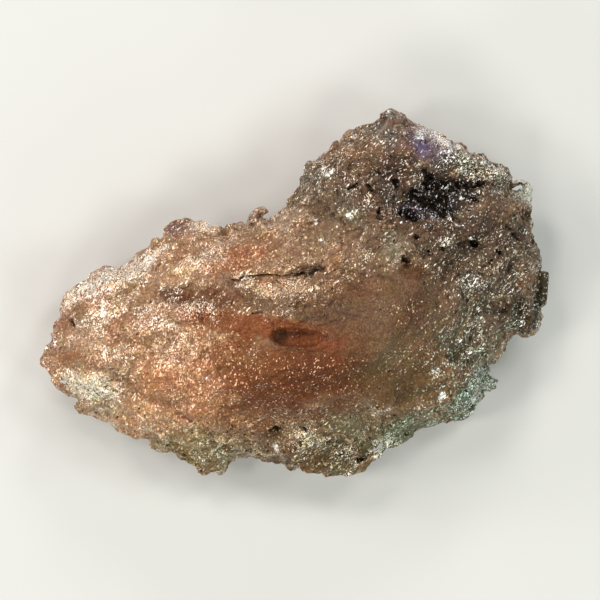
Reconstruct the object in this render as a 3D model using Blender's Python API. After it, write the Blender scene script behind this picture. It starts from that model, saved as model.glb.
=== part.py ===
"""A loose morganite (pink beryl) crystal, deeply etched all over, lying on its broken back.

The crystal is one piece. Its broad etched face looks up, +Z is up, and the origin is on the
resting plane, under the middle of the bounding box. Its grain, the direction that the etching
has opened into ridges and grooves, runs nearly along X. Sizes here are in millimetres, and they
become metres where the mesh is made.
"""

import math
import random

import bmesh
import bpy
import numpy as np
from mathutils import Matrix, Vector, noise
from mathutils.bvhtree import BVHTree
from mathutils.geometry import delaunay_2d_cdt
from mathutils.kdtree import KDTree

METRES = 0.001
HEIGHT = 27.0  # resting plane to the highest lump
GRAIN_ANGLE = math.radians(17)  # of the etched ridges, from +X towards +Y
GRAIN_STRETCH = 2.6  # how much longer than wide the etched ridges are

TOP_STEP = 1.15  # distance between points on the etched face
BACK_STEP = 1.9  # and on the broken back
EDGE_STEP = 1.15  # and along the outline
EDGE_ROUGHNESS = 0.16
POINT_JITTER = 0.28  # how far points wander from an even spread, as a share of their step
POINT_GAP = 0.32  # the least distance between two points
ROW_WANDER = 0.15  # of a row's depth, as a share of it
TOP_ROWS = (0.14, 0.42, 0.85, 1.45, 2.2, 3.1)  # depths of the rows of points up the sides of the face
BACK_ROWS = (0.25, 0.8, 1.6, 2.8, 4.2)  # and down the sides of the back

# The outline seen from above, clockwise from the west tip, as (x, y).
WEST_TIP = [(-35.4, -9.9), (-35.7, -9.0), (-34.9, -7.8), (-34.1, -6.4), (-33.6, -4.3)]
WEST_END = [(-32.9, -2.0), (-32.5, -0.6), (-31.6, 0.4), (-30.3, 1.4), (-29.2, 1.9)]
WEST_SHOULDER = [(-28.8, 2.8), (-27.9, 3.6), (-26.4, 4.1), (-24.9, 4.0), (-23.1, 4.5), (-21.9, 5.7)]
SHOULDER_STEP = [(-20.3, 7.1), (-19.5, 7.7), (-18.6, 7.4), (-18.2, 7.9)]
NORTH_KNOB = [(-18.0, 9.1), (-16.7, 10.2), (-15.2, 10.7), (-14.0, 10.3), (-13.1, 10.5), (-12.2, 9.8)]
NORTH_SADDLE = [(-11.8, 9.2), (-10.8, 9.5), (-9.8, 9.1), (-9.3, 9.9), (-7.4, 10.3), (-6.9, 9.9)]
HOOK = [(-6.4, 11.1), (-5.4, 11.8), (-4.4, 12.0), (-3.4, 11.3), (-4.2, 11.1), (-4.9, 10.7), (-3.6, 10.4)]
NORTH_CREEK = [(-2.4, 11.3), (-1.2, 12.2), (-1.1, 13.2), (-0.3, 14.2), (0.6, 15.2), (1.0, 16.6)]
LOBE_WEST = [(1.3, 17.6), (2.0, 18.4), (3.7, 19.4), (5.4, 20.9), (7.4, 22.7), (9.1, 23.4), (11.8, 24.4)]
PEAK = [(12.1, 25.3), (13.2, 25.9), (14.3, 25.3), (15.2, 25.3), (15.7, 24.6)]
LOBE_EAST = [(17.5, 23.5), (19.5, 22.8), (21.5, 21.5), (23.2, 20.9), (25.2, 19.5), (26.6, 19.5)]
LOBE_CORNER = [(27.2, 18.3), (29.1, 18.0), (30.2, 16.5), (30.4, 15.5), (31.4, 16.0)]
EAR = [(32.4, 15.7), (33.4, 15.1), (33.1, 13.4), (33.0, 11.0), (33.4, 8.6)]
EAST_FACE = [(34.1, 6.2), (34.5, 4.5), (34.5, 3.1), (34.4, 1.0), (34.2, -1.4), (34.6, -2.5)]
EAST_LUMP = [(34.8, -3.4), (34.3, -4.7), (33.4, -5.7), (32.3, -6.2), (31.2, -5.7), (30.2, -6.3)]
EAST_BITE = [(29.5, -7.6), (29.0, -9.0), (28.3, -9.9), (27.0, -10.0), (27.6, -10.9), (27.3, -11.3)]
EAST_TEETH = [(28.5, -12.1), (28.1, -12.9), (28.1, -13.6), (26.7, -13.8), (26.5, -14.8), (25.4, -16.0)]
SOUTH_EAST_SHELF = [(24.4, -17.6), (22.9, -17.7), (20.6, -18.4), (17.9, -19.2), (15.5, -20.6)]
SOUTH_RIB = [(13.2, -21.6), (11.8, -22.8), (10.6, -23.6), (9.9, -24.8), (8.2, -25.4), (5.9, -25.6)]
SOUTH_KEEL = [(4.2, -26.0), (3.8, -25.4), (1.6, -25.1), (0.4, -24.4), (-0.8, -24.8), (-1.7, -24.1)]
SOUTH_CURVE = [(-4.2, -23.7), (-6.1, -23.0), (-8.2, -22.9), (-9.3, -23.8), (-10.0, -25.6)]
SOUTH_TOOTH = [(-11.1, -25.1), (-12.2, -25.2), (-13.1, -25.6), (-13.8, -24.2), (-15.0, -23.6)]
SOUTH_FRINGE = [(-16.2, -23.5), (-17.2, -22.3), (-18.8, -22.2), (-20.2, -21.5), (-20.7, -20.4)]
APRON = [(-23.0, -20.2), (-25.3, -19.5), (-26.3, -18.0), (-28.3, -17.3), (-30.4, -16.7), (-31.0, -15.6)]
WEST_NOTCH = [(-30.3, -15.1), (-31.8, -14.2), (-32.9, -13.3), (-34.1, -11.9), (-34.5, -10.5)]
OUTLINE = (
    WEST_TIP + WEST_END + WEST_SHOULDER + SHOULDER_STEP + NORTH_KNOB + NORTH_SADDLE + HOOK
    + NORTH_CREEK + LOBE_WEST + PEAK + LOBE_EAST + LOBE_CORNER + EAR + EAST_FACE + EAST_LUMP
    + EAST_BITE + EAST_TEETH + SOUTH_EAST_SHELF + SOUTH_RIB + SOUTH_KEEL + SOUTH_CURVE
    + SOUTH_TOOTH + SOUTH_FRINGE + APRON + WEST_NOTCH
)  # fmt: skip

# Etching has gone right through the thin edge here: (centre, half length, half width, angle).
EYELETS = [
    ((31.1, 14.9), 0.65, 0.35, 5),  # in the ear
    ((11.4, -21.6), 1.05, 0.33, 42),  # under the south rib
    ((-32.5, -12.5), 0.5, 0.3, -10),  # by the west notch
]
EYELET_POINTS = 7

# The main lumps, each bounded by broad planes: (point in plan, height of the plane there, dip in
# degrees, direction that it dips in, anticlockwise from +X).
LUMPS = {
    "core": [
        ((3, -7), 26.5, 6, 75),
        ((2, -14.5), 23.5, 44, 262),
        ((-1, -20.5), 15.0, 62, 275),
        ((-13, -9), 22.5, 27, 200),
        ((-3, 1.5), 23.0, 31, 108),
        ((19, -7), 22.0, 30, -18),
        ((14, -15), 18.5, 46, 292),
    ],
    "west shoulder": [
        ((-21, -3), 19.5, 9, 165),
        ((-29, -6), 16.5, 36, 186),
        ((-22, 1.5), 18.0, 44, 118),
        ((-24, -11.5), 16.5, 38, 250),
        ((-12, -4), 19.0, 22, 350),
    ],
    "north-east lobe": [
        ((16, 12), 22.5, 9, 320),
        ((5, 16), 18.0, 44, 136),
        ((19.5, 18.5), 19.0, 47, 62),
        ((29, 9), 17.5, 48, 4),
        ((16, 2), 20.0, 26, 262),
    ],
    "east flank": [
        ((25, -3), 17.5, 16, 330),
        ((31, -1), 14.5, 50, 350),
        ((27, -9), 14.0, 52, 300),
        ((16, -3), 19.5, 20, 170),
    ],
    "south apron": [((-12, -18), 12.5, 13, 245), ((-24, -15), 11.5, 24, 230), ((0, -22), 12.5, 20, 275)],
    "south-east shelf": [((19, -15), 9.5, 9, 290), ((10, -20), 10.0, 16, 250), ((25, -11), 10.0, 18, 340)],
    "north knob": [
        ((-15.2, 8.2), 17.5, 12, 100),
        ((-18, 8), 14.5, 58, 170),
        ((-12.5, 8.5), 15.0, 50, 30),
        ((-15.2, 5), 16.5, 30, 270),
    ],
}
LUMP_BLEND = 0.7  # how softly planes meet along the ridges and in the valleys
EDGE_FALL = 2.3  # how far from the outline the planes are nearly reached

# The height of the outline itself over the floor: (centre, radius, height).
EDGE_HEIGHTS = [
    ((-34, -9), 8, 11.5),
    ((-30, 2), 9, 7.0),
    ((-16, 10), 8, 12.5),
    ((-4, 11), 7, 9.0),
    ((2, 18), 9, 14.0),
    ((13, 25), 8, 10.0),
    ((25, 20), 9, 14.5),
    ((33, 13), 6, 10.0),
    ((34.5, 1), 8, 9.0),
    ((30, -9), 7, 11.0),
    ((24, -16), 10, 4.5),
    ((7, -25), 9, 8.5),
    ((-6, -23), 8, 5.0),
    ((-13, -25), 6, 7.5),
    ((-25, -19), 9, 4.5),
]
EDGE_WANDER, EDGE_WANDER_SIZE = 1.6, 6  # how far the outline climbs and falls between these
COMMON_EDGE_HEIGHT, COMMON_WEIGHT = 9.0, 0.02  # where none of these is near
LOWEST_EDGE = 2.5

# The crystal's layers, which show as steps on every side: (dip, its direction, spacing, sharpness).
LAYERS = [(14, 105, 3.4, 0.85), (9, 20, 1.9, 0.6)]
LAYER_BENDS = [(1.2, 12, 8), (0.35, 3, 9)]  # how they bend: (height, size, seed)

# Ledges: (the lip from west to east, drop on the south side, how far the drop is felt).
LEDGES = [
    ([(-21.3, -7.6), (-19.2, -5.4), (-16.0, -3.8), (-12.4, -2.4), (-6.6, -2.9), (-1.8, -4.0),
      (3.9, -5.4), (8.7, -6.8)], 1.6, 7.0),
    ([(-12.0, 1.0), (-8.3, 1.8), (-4.6, 2.4), (-0.6, 2.5), (1.5, 2.9), (3.9, 3.6), (7.5, 4.2)], 1.2, 4.0),
    ([(-31.0, -14.0), (-27.8, -16.2), (-25.5, -17.6)], 0.9, 3.0),
    ([(9.0, -18.9), (14.1, -17.9), (18.3, -16.8), (21.5, -14.8), (25.3, -14.4)], 2.0, 5.0),
    ([(27.0, -0.2), (31.6, -0.8), (34.4, -1.1)], 1.4, 3.5),
    ([(14.0, -7.6), (20.0, -4.4), (25.0, -1.2), (29.5, 3.4)], 1.1, 4.0),
    ([(-28.0, -3.4), (-22.5, -0.6), (-17.0, 2.4), (-9.0, 5.2)], 1.0, 4.0),
]  # fmt: skip
LEDGE_WIDTH = 0.45  # half the width of the drop, seen from above

# Grooves: (the line, depth, half width).
GROOVES = [
    ([(-8.3, 1.6), (-4.6, 2.2), (-0.6, 2.3), (1.5, 2.7), (3.9, 3.4)], 2.2, 0.6),  # the long crack
    ([(-21.6, -0.8), (-20.0, -2.4), (-17.7, -3.6), (-15.6, -3.4)], 1.2, 0.8),
    ([(-19.0, -0.2), (-15.4, -0.8), (-12.4, -1.3)], 1.0, 0.8),
    ([(13.0, 12.0), (17.5, 15.0), (21.5, 17.2), (26.5, 16.2)], 1.1, 0.8),
]

# Hollows: (centre, half length, half width, angle, depth).
HOLLOWS = [
    ((0.4, -5.9), 3.6, 1.0, -3, 1.6),  # the shallow cave under the main lip
    ((21.3, 14.5), 5.6, 2.7, 18, 3.0),  # the clear hollow in the lobe
    ((16.3, 11.0), 2.4, 1.2, -15, 1.7),
    ((32.0, -3.0), 2.3, 1.5, 10, 1.3),
    ((14.1, 15.1), 1.2, 0.9, 0, 1.2),
    ((8.0, 14.8), 1.3, 0.9, 20, 1.1),
    ((12.0, 11.3), 0.9, 1.2, 0, 1.2),
    ((19.0, 5.6), 1.0, 0.8, 0, 1.1),
    ((15.6, 4.4), 0.9, 0.7, 0, 1.3),
    ((24.4, 7.0), 0.9, 0.8, 0, 1.1),
    ((29.9, 9.0), 1.0, 0.8, 0, 1.0),
    ((-24.9, -13.4), 1.1, 0.8, 0, 1.0),
    ((-24.6, -15.6), 1.0, 0.7, 0, 1.0),
    ((-2.7, -19.0), 1.6, 0.9, 0, 1.1),
    ((1.5, -18.7), 1.0, 0.7, 0, 1.0),
    ((-10.6, -20.6), 1.2, 0.9, 0, 1.0),
    ((-16.0, 9.0), 1.4, 1.0, 10, 1.2),
]

# The window: a smoother dome of the core that the etching has left nearly clear.
WINDOW = ((2.5, -11.0), (15.0, 7.2), 4)
WINDOW_SWELL = 1.5
WINDOW_SMOOTHNESS = 0.75  # the share of the relief that is missing there
WINDOW_RIM = 1.6  # how fast the relief goes, inwards from the window's edge

RIDGE_RELIEF, RIDGE_SIZE = 1.2, 5.5  # height and width of the etched ridges along the grain
PIT_RELIEF, PIT_SIZE = 0.6, 2.6  # of the finer pits and lumps between them
RELIEF_RISE = 2.0  # how far in from the outline the relief has its full height
EDGE_RELIEF = 0.1  # the share of it that the outline has
LEAST_CROWN = 2.0  # height of the face over the outline at least, well inside it
CROWN_ROUNDNESS = 0.55
EDGE_THICKNESS, THICKENING, THIN_EDGE = 0.25, 0.5, 2.0  # of each side; its slope; how far in that goes

BACK_RELIEF, BACK_RIDGE_SIZE = 2.0, 6.5  # of the broken back, outside its flat
BACK_SINK = 0.2  # how far its ridges are let in
BACK_REACH = 8.5  # how far in from the outline the back comes down to the floor
REACH_WANDER, REACH_SIZE = 0.6, 14  # how unevenly
BACK_ROUNDNESS = 0.6

WARP, WARP_SIZE = 1.3, 6  # how far the steep sides wander sideways
WARP_START, WARP_RISE = 0.3, 3.0  # from how far inside the outline, and over what distance
WARP_LIFT = 4.0  # height over the floor at which they wander fully

SIDE_CARVING = 2.1  # how deep the etching has cut into the steep sides
SIDE_LAYER = 3.1  # height of the layers that it has left standing proud there
SIDE_DIP_EAST, SIDE_DIP_NORTH = -0.1, 0.22  # how much those layers drop to a millimetre
SIDE_BEND, SIDE_BEND_SIZE = 1.5, 11
SIDE_GAPS, SIDE_HOLLOWS, HOLLOW_SIZE = 0.55, 0.6, 4.2  # the shares of the gaps and of the hollows
SIDE_STEEPNESS = 1.15  # how much steeper than the rest a side is to be cut
CUT_START, CUT_RISE = 0.5, 2.0  # from how far inside the outline, and over what distance
THICKNESS_CUT = 0.18  # the share of the stone's thickness that it has cut at most
SKIN_DEPTH = 0.01  # from where the thickness is measured

# The small clear prism on the east face: lower end, upper end, radius, and its six sides' twist.
PRISM_SOUTH = Vector((34.55, -1.9, 8.6))
PRISM_NORTH = Vector((34.9, 3.1, 9.4))
PRISM_RADIUS = 0.82
PRISM_SIDES = 6
PRISM_SLANT = 0.55  # of its lower end

BERYL_COLOUR, BERYL_ROUGHNESS, BERYL_IOR = (0.62, 0.33, 0.19, 1), 0.3, 1.58


def along_grain(points, size):
    """Points turned and squeezed so that a noise of them has ridges along the grain."""
    turn = Matrix.Rotation(-GRAIN_ANGLE, 3, "Z")
    squeeze = Vector((1 / (size * GRAIN_STRETCH), 1 / size, 1 / size))
    return [(turn @ Vector(p)) * squeeze for p in points]


def fractal(points, size, seed, octaves=3):
    """Fractal noise of about -1 to 1 at each point, its largest lumps `size` across."""
    start = Vector((seed * 7.3, seed * 3.1, seed * 5.7))
    return np.array([noise.fractal(Vector(p) / size + start, 0.9, 2.1, octaves) for p in points])


def etched_ridges(points, size, seed):
    """Sharp-crested ridges along the grain, about -0.5 to 0.5."""
    start = Vector((seed * 4.7, seed * 6.1, seed * 2.9))
    crests = [abs(noise.fractal(p + start, 0.8, 2.2, 3)) for p in along_grain(points, size)]
    return 0.5 - np.minimum(1, 2.4 * np.array(crests))


def ellipse_radius(plan, centre, halves, angle):
    """How many half-axes each plan point is from the centre of an ellipse."""
    turn, (dx, dy) = math.radians(angle), (plan - np.array(centre)).T
    along = dx * math.cos(turn) + dy * math.sin(turn)
    across = -dx * math.sin(turn) + dy * math.cos(turn)
    return np.hypot(along / halves[0], across / halves[1])


def line_distance(plan, line, closed=False):
    """Each plan point's distance to a line of straight runs, and whether it is left of the run."""
    starts = np.array(line, float)
    ends = np.roll(starts, -1, axis=0)
    if not closed:
        starts, ends = starts[:-1], ends[:-1]
    runs = ends - starts
    offset = plan[:, None, :] - starts[None, :, :]
    share = np.clip((offset * runs).sum(2) / (runs * runs).sum(1), 0, 1)
    gap = offset - share[:, :, None] * runs
    distance = np.hypot(gap[:, :, 0], gap[:, :, 1])
    nearest = distance.argmin(1)
    rows = np.arange(len(plan))
    cross = runs[nearest, 0] * offset[rows, nearest, 1] - runs[nearest, 1] * offset[rows, nearest, 0]
    return distance[rows, nearest], cross > 0


def is_inside(plan, loop):
    """Whether each plan point is inside a closed loop."""
    corners = np.array(loop, float)
    nexts = np.roll(corners, -1, axis=0)
    x, y = plan[:, :1], plan[:, 1:]
    spans = (corners[:, 1] > y) != (nexts[:, 1] > y)
    rise = np.where(nexts[:, 1] == corners[:, 1], 1, nexts[:, 1] - corners[:, 1])
    crossing = corners[:, 0] + (y - corners[:, 1]) * (nexts[:, 0] - corners[:, 0]) / rise
    return (spans & (x < crossing)).sum(1) % 2 == 1


def rough_outline(rng):
    """The outline with its straight runs broken into short ones that wander a little."""
    points = []
    for start, end in zip(OUTLINE, OUTLINE[1:] + OUTLINE[:1]):
        a, b = Vector(start), Vector(end)
        pieces = max(1, round((b - a).length / EDGE_STEP))
        points.append(a)
        for i in range(1, pieces):
            across = Vector((a.y - b.y, b.x - a.x)).normalized()
            points.append(a.lerp(b, i / pieces) + across * rng.uniform(-1, 1) * EDGE_ROUGHNESS)
    return [tuple(p) for p in points]


def eyelet_loop(centre, half_length, half_width, angle):
    turn = math.radians(angle)
    loop = []
    for i in range(EYELET_POINTS):
        a = 2 * math.pi * i / EYELET_POINTS
        along, across = half_length * math.cos(a), half_width * math.sin(a)
        loop.append((
            centre[0] + along * math.cos(turn) - across * math.sin(turn),
            centre[1] + along * math.sin(turn) + across * math.cos(turn),
        ))  # fmt: skip
    return loop


def edge_distance(plan, loops):
    """Each plan point's distance to the nearest edge, and whether it is on the stone."""
    distance = np.min([line_distance(plan, loop, closed=True)[0] for loop in loops], axis=0)
    on_stone = is_inside(plan, loops[0])
    for hole in loops[1:]:
        on_stone &= ~is_inside(plan, hole)
    return distance, on_stone


def edge_height(plan):
    """The height of the stone's edge over the floor, carried on over the whole plan."""
    weights = np.full(len(plan), COMMON_WEIGHT)
    total = weights * COMMON_EDGE_HEIGHT
    for centre, radius, height in EDGE_HEIGHTS:
        weight = np.exp(-2 * ellipse_radius(plan, centre, (radius, radius), 0) ** 2)
        weights, total = weights + weight, total + weight * height
    level = np.column_stack([plan, np.zeros(len(plan))])
    return np.maximum(LOWEST_EDGE, total / weights + EDGE_WANDER * fractal(level, EDGE_WANDER_SIZE, seed=3))


def plane_height(plan, point, height, dip, towards):
    """The height of a broad plane over each plan point."""
    way = np.array([math.cos(math.radians(towards)), math.sin(math.radians(towards))])
    return height - ((plan - np.array(point)) @ way) * math.tan(math.radians(dip))


def crown_height(plan):
    """The lumps run together: the height over the floor that the etched face would have."""
    crowns = []
    for planes in LUMPS.values():
        heights = np.array([plane_height(plan, *plane) for plane in planes]) / LUMP_BLEND
        lowest = heights.min(0)
        crowns.append(lowest - np.log(np.exp(lowest - heights).sum(0)))
    crowns = np.array(crowns)
    highest = crowns.max(0)
    return LUMP_BLEND * (highest + np.log(np.exp(crowns - highest).sum(0)))


def layered(plan, height):
    """The height with the crystal's layers stepped into it."""
    points = np.column_stack([plan, height])
    bend = sum(rise * fractal(points, size, seed) for rise, size, seed in LAYER_BENDS)
    for dip, towards, spacing, sharpness in LAYERS:
        level = height - plane_height(plan, (0, 0), 0, dip, towards) + bend
        turns = 2 * math.pi * level / spacing
        height = height - sharpness * spacing / (2 * math.pi) * np.sin(turns)
    return height


def face_features(plan):
    """Ledges, grooves, hollows and the window, as a change of height."""
    change = np.zeros(len(plan))
    for lip, drop, felt in LEDGES:
        distance, north = line_distance(plan, lip)
        signed = np.where(north, distance, -distance)
        side = 0.5 * np.tanh(signed / LEDGE_WIDTH)
        change += drop * side * np.exp(-((distance / felt) ** 2))
    for line, depth, half_width in GROOVES:
        distance, _ = line_distance(plan, line)
        change -= depth * np.exp(-((distance / half_width) ** 2))
    for centre, half_length, half_width, angle, depth in HOLLOWS:
        radius = ellipse_radius(plan, centre, (half_length, half_width), angle)
        change -= depth * np.exp(-(radius**3))
    change += WINDOW_SWELL * np.maximum(0, 1 - ellipse_radius(plan, *WINDOW) ** 2)
    return change


def thinnest(distance):
    """How far each side of the stone is from the level of its edge at least."""
    return EDGE_THICKNESS + THICKENING * np.minimum(distance, THIN_EDGE)


def top_height(plan, distance):
    """The etched face."""
    edge = edge_height(plan)
    crown = np.maximum(crown_height(plan) - edge, LEAST_CROWN)
    height = edge + crown * (1 - np.exp(-distance / EDGE_FALL)) ** CROWN_ROUNDNESS
    smooth = np.clip(WINDOW_RIM * (1 - ellipse_radius(plan, *WINDOW)), 0, WINDOW_SMOOTHNESS)
    points = np.column_stack([plan, height])
    relief = layered(plan, height) - height
    relief += RIDGE_RELIEF * etched_ridges(points, RIDGE_SIZE, seed=1)
    relief += PIT_RELIEF * fractal(points, PIT_SIZE, seed=2)
    fade = np.clip(distance / RELIEF_RISE, EDGE_RELIEF, 1)
    height += fade * ((1 - smooth) * relief + face_features(plan))
    return np.maximum(height, edge + thinnest(distance))


def back_height(plan, distance):
    """The broken back, which comes down from the edge to a flat on the floor."""
    edge = edge_height(plan)
    points = np.column_stack([plan, edge])
    reach = BACK_REACH * (1 + REACH_WANDER * fractal(points, REACH_SIZE, seed=5))
    fall = np.clip(distance / reach, 0, 1) ** BACK_ROUNDNESS
    height = layered(plan, edge * (1 - fall))
    height += BACK_RELIEF * fall * (etched_ridges(points, BACK_RIDGE_SIZE, seed=6) - BACK_SINK)
    return np.maximum(0, np.minimum(height, edge - thinnest(distance)))


def wander(points, distance):
    """Moves points sideways, by no more than they can before they leave the outline."""
    reach = WARP * np.clip((distance - WARP_START) / WARP_RISE, 0, 1)
    ease = np.clip(points[:, 2] / WARP_LIFT, 0, 1)  # the flat on the floor keeps its outline
    for axis, seed in ((0, 11), (1, 12)):
        points[:, axis] += reach * ease * fractal(points, WARP_SIZE, seed)
    return points


def carve_sides(bm, edge_verts):
    """Cuts hollows and the gaps between layers into the steep sides, and leaves thin places alone."""
    bm.normal_update()
    skin = BVHTree.FromBMesh(bm)
    edge = KDTree(len(edge_verts))
    for i, v in enumerate(edge_verts):
        edge.insert(v.co, i)
    edge.balance()
    bm.verts.index_update()
    verts = list(bm.verts)
    points = [v.co.copy() for v in verts]
    bend = SIDE_BEND * fractal(points, SIDE_BEND_SIZE, seed=14)
    hollows = 0.5 + 0.5 * fractal(points, HOLLOW_SIZE, seed=15)
    for i, (v, p) in enumerate(zip(verts, points)):
        level = (p.z + SIDE_DIP_NORTH * p.y + SIDE_DIP_EAST * p.x + bend[i]) / SIDE_LAYER
        gap = 0.5 - 0.5 * math.cos(2 * math.pi * level)
        steep = max(0.0, 1 - abs(v.normal.z) * SIDE_STEEPNESS)
        room = min(1.0, max(0.0, (edge.find(p)[2] - CUT_START) / CUT_RISE))
        through = skin.ray_cast(p - SKIN_DEPTH * v.normal, -v.normal)[3] or 0.0
        cut = SIDE_CARVING * room * steep * (SIDE_GAPS * gap**2 + SIDE_HOLLOWS * hollows[i])
        v.co -= v.normal * min(cut, THICKNESS_CUT * through)
    give_back_crossings(bm, points)


def give_back_crossings(bm, points):
    """Puts the corners of faces that have come to cross each other back where they were."""
    while True:
        skin = BVHTree.FromBMesh(bm)
        bm.faces.ensure_lookup_table()
        pairs = [(set(bm.faces[a].verts), set(bm.faces[b].verts)) for a, b in skin.overlap(skin)]
        crossing = set().union(*(a | b for a, b in pairs if not a & b))
        moved = [v for v in crossing if v.co != points[v.index]]
        if not moved:
            return
        for v in moved:
            v.co = points[v.index]


def edge_rows(loops, depths, rng):
    """Rows of points that follow the outline inside it."""
    outline = np.array(loops[0])
    ahead, behind = np.roll(outline, -1, axis=0), np.roll(outline, 1, axis=0)
    along = ahead - behind
    inward = np.column_stack([along[:, 1], -along[:, 0]]) / np.hypot(*along.T)[:, None]
    rows = []
    for depth in depths:
        reach = [[rng.uniform(1 - ROW_WANDER, 1 + ROW_WANDER)] for _ in outline]
        row = outline + inward * depth * np.array(reach)
        distance, on_stone = edge_distance(row, loops)
        rows.append(row[on_stone & (distance > 0.75 * depth)])
    return np.vstack(rows)


def scattered(loops, step, least, rng):
    """Points all over the stone, about a step apart, and none closer to its edge than least."""
    low, high = np.array(loops[0]).min(0), np.array(loops[0]).max(0)
    points, row = [], 0
    for y in np.arange(low[1], high[1], step * math.sqrt(3) / 2):
        for x in np.arange(low[0] + (row % 2) * step / 2, high[0], step):
            jitter = [rng.uniform(-POINT_JITTER, POINT_JITTER) * step for _ in range(2)]
            points.append((x + jitter[0], y + jitter[1]))
        row += 1
    points = np.array(points)
    distance, on_stone = edge_distance(points, loops)
    return points[on_stone & (distance > least)]


def apart(points):
    """The points without those that crowd an earlier one."""
    kept = []
    for p in points:
        if not kept or np.hypot(*(np.array(kept) - p).T).min() > POINT_GAP:
            kept.append(p)
    return kept


def triangulated(loops, inner):
    """The stone's plan cut into triangles whose inner edges never join two points of the outline."""
    edge_points = [p for loop in loops for p in loop]
    count, edges, first = len(edge_points), [], 0
    for loop in loops:
        edges += [(first + i, first + (i + 1) % len(loop)) for i in range(len(loop))]
        first += len(loop)
    boundary = {frozenset(e) for e in edges}
    inner = list(inner)
    while True:
        plan = [Vector(p) for p in edge_points] + [Vector(p) for p in inner]
        found, _, faces = delaunay_2d_cdt(plan, edges, [], 0, 1e-6)[:3]
        if len(found) != len(plan):
            raise ValueError("outline points coincide")
        faces = np.array(faces)
        centres = np.array(found)[faces].mean(1)
        faces = faces[edge_distance(centres, loops)[1]]
        sides = {frozenset((int(f[i]), int(f[i - 1]))) for f in faces for i in range(3)}
        chords = [s for s in sides if s not in boundary and max(s) < count]
        if not chords:
            return np.array(found), faces, count
        inner += [sum((np.array(edge_points[i]) for i in chord), np.zeros(2)) / 2 for chord in chords]


def sheet(bm, loops, step, depths, height, rng, upwards, edge_verts):
    """One side of the stone, from the outline's own vertices inwards."""
    rows = apart(edge_rows(loops, depths, rng))
    inner = apart(rows + list(scattered(loops, step, depths[-1] + 0.5 * step, rng)))
    plan, faces, count = triangulated(loops, inner)
    distance, _ = edge_distance(plan, loops)
    points = np.column_stack([plan, height(plan, distance)])
    points = wander(points, distance)
    if not edge_verts:
        level = edge_height(plan[:count])
        rim = np.column_stack([plan[:count], level])
        edge_verts += [bm.verts.new(p) for p in rim]
    verts = edge_verts + [bm.verts.new(p) for p in points[count:]]
    for a, b, c in faces:
        bm.faces.new([verts[i] for i in ((a, b, c) if upwards else (c, b, a))])


def crystal_body(rng):
    """The etched crystal without its prism, in millimetres."""
    loops = [rough_outline(rng)] + [eyelet_loop(*eyelet) for eyelet in EYELETS]
    bm, edge_verts = bmesh.new(), []
    sheet(bm, loops, TOP_STEP, TOP_ROWS, top_height, rng, True, edge_verts)
    sheet(bm, loops, BACK_STEP, BACK_ROWS, back_height, rng, False, edge_verts)
    bmesh.ops.recalc_face_normals(bm, faces=bm.faces)
    carve_sides(bm, edge_verts)
    return bm


def prism():
    """The small six-sided crystal grown on the east face, with one end slanted."""
    axis = PRISM_NORTH - PRISM_SOUTH
    bm = bmesh.new()
    ends = {"radius1": PRISM_RADIUS, "radius2": PRISM_RADIUS}
    bmesh.ops.create_cone(bm, cap_ends=True, segments=PRISM_SIDES, depth=axis.length, **ends)
    slanted = [v for v in bm.verts if v.co.z < 0]
    for v in slanted:
        v.co.z -= PRISM_SLANT * v.co.x
    turn = axis.to_track_quat("Z", "Y").to_matrix().to_4x4()
    bm.transform(Matrix.Translation((PRISM_NORTH + PRISM_SOUTH) / 2) @ turn)
    return bm


def mesh_object(name, bm):
    """The object of a bmesh in millimetres, which it frees."""
    bm.transform(Matrix.Scale(METRES, 4))
    mesh = bpy.data.meshes.new(name)
    bm.to_mesh(mesh)
    bm.free()
    obj = bpy.data.objects.new(name, mesh)
    bpy.context.scene.collection.objects.link(obj)
    return obj


def joined(base, other):
    """Makes base one solid with other, and removes other."""
    union = base.modifiers.new("grown on", "BOOLEAN")
    union.operation, union.solver, union.object = "UNION", "EXACT", other
    graph = bpy.context.evaluated_depsgraph_get()
    whole = bpy.data.meshes.new_from_object(base.evaluated_get(graph))
    base.modifiers.clear()
    base.data = whole
    bpy.data.objects.remove(other)


def stand_on_origin(obj):
    """Puts the bounding box's bottom centre on the origin, with its top at HEIGHT over the flat."""
    points = np.array([v.co for v in obj.data.vertices])
    low, high = points.min(0), points.max(0)
    middle = (low + high) / 2
    level = Matrix.Translation((-middle[0], -middle[1], -low[2]))
    stretch = Matrix.Scale(HEIGHT * METRES / (high[2] - low[2]), 4, (0, 0, 1))
    obj.data.transform(stretch @ level)


def morganite_material():
    material = bpy.data.materials.new("morganite")
    material.use_nodes = True
    shader = material.node_tree.nodes["Principled BSDF"]
    shader.inputs["Base Color"].default_value = BERYL_COLOUR
    shader.inputs["Roughness"].default_value = BERYL_ROUGHNESS
    shader.inputs["Metallic"].default_value = 0.0
    shader.inputs["IOR"].default_value = BERYL_IOR
    return material


def main():
    for obj in list(bpy.data.objects):
        bpy.data.objects.remove(obj)
    rng = random.Random(7)
    crystal = mesh_object("morganite", crystal_body(rng))
    joined(crystal, mesh_object("prism", prism()))
    stand_on_origin(crystal)
    crystal.data.materials.clear()
    crystal.data.materials.append(morganite_material())


main()
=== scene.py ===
"""The looks of the morganite: its etched surface, its clear and frosted beryl, the light and the camera.

The stone lies on its broken back and the camera looks straight down on its etched face, with the
lobe's peak (+Y) at the top of the picture. Shapes are worked out in millimetres, in plan from the
frame's own origin, and become metres where the mesh is made.
"""

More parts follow.
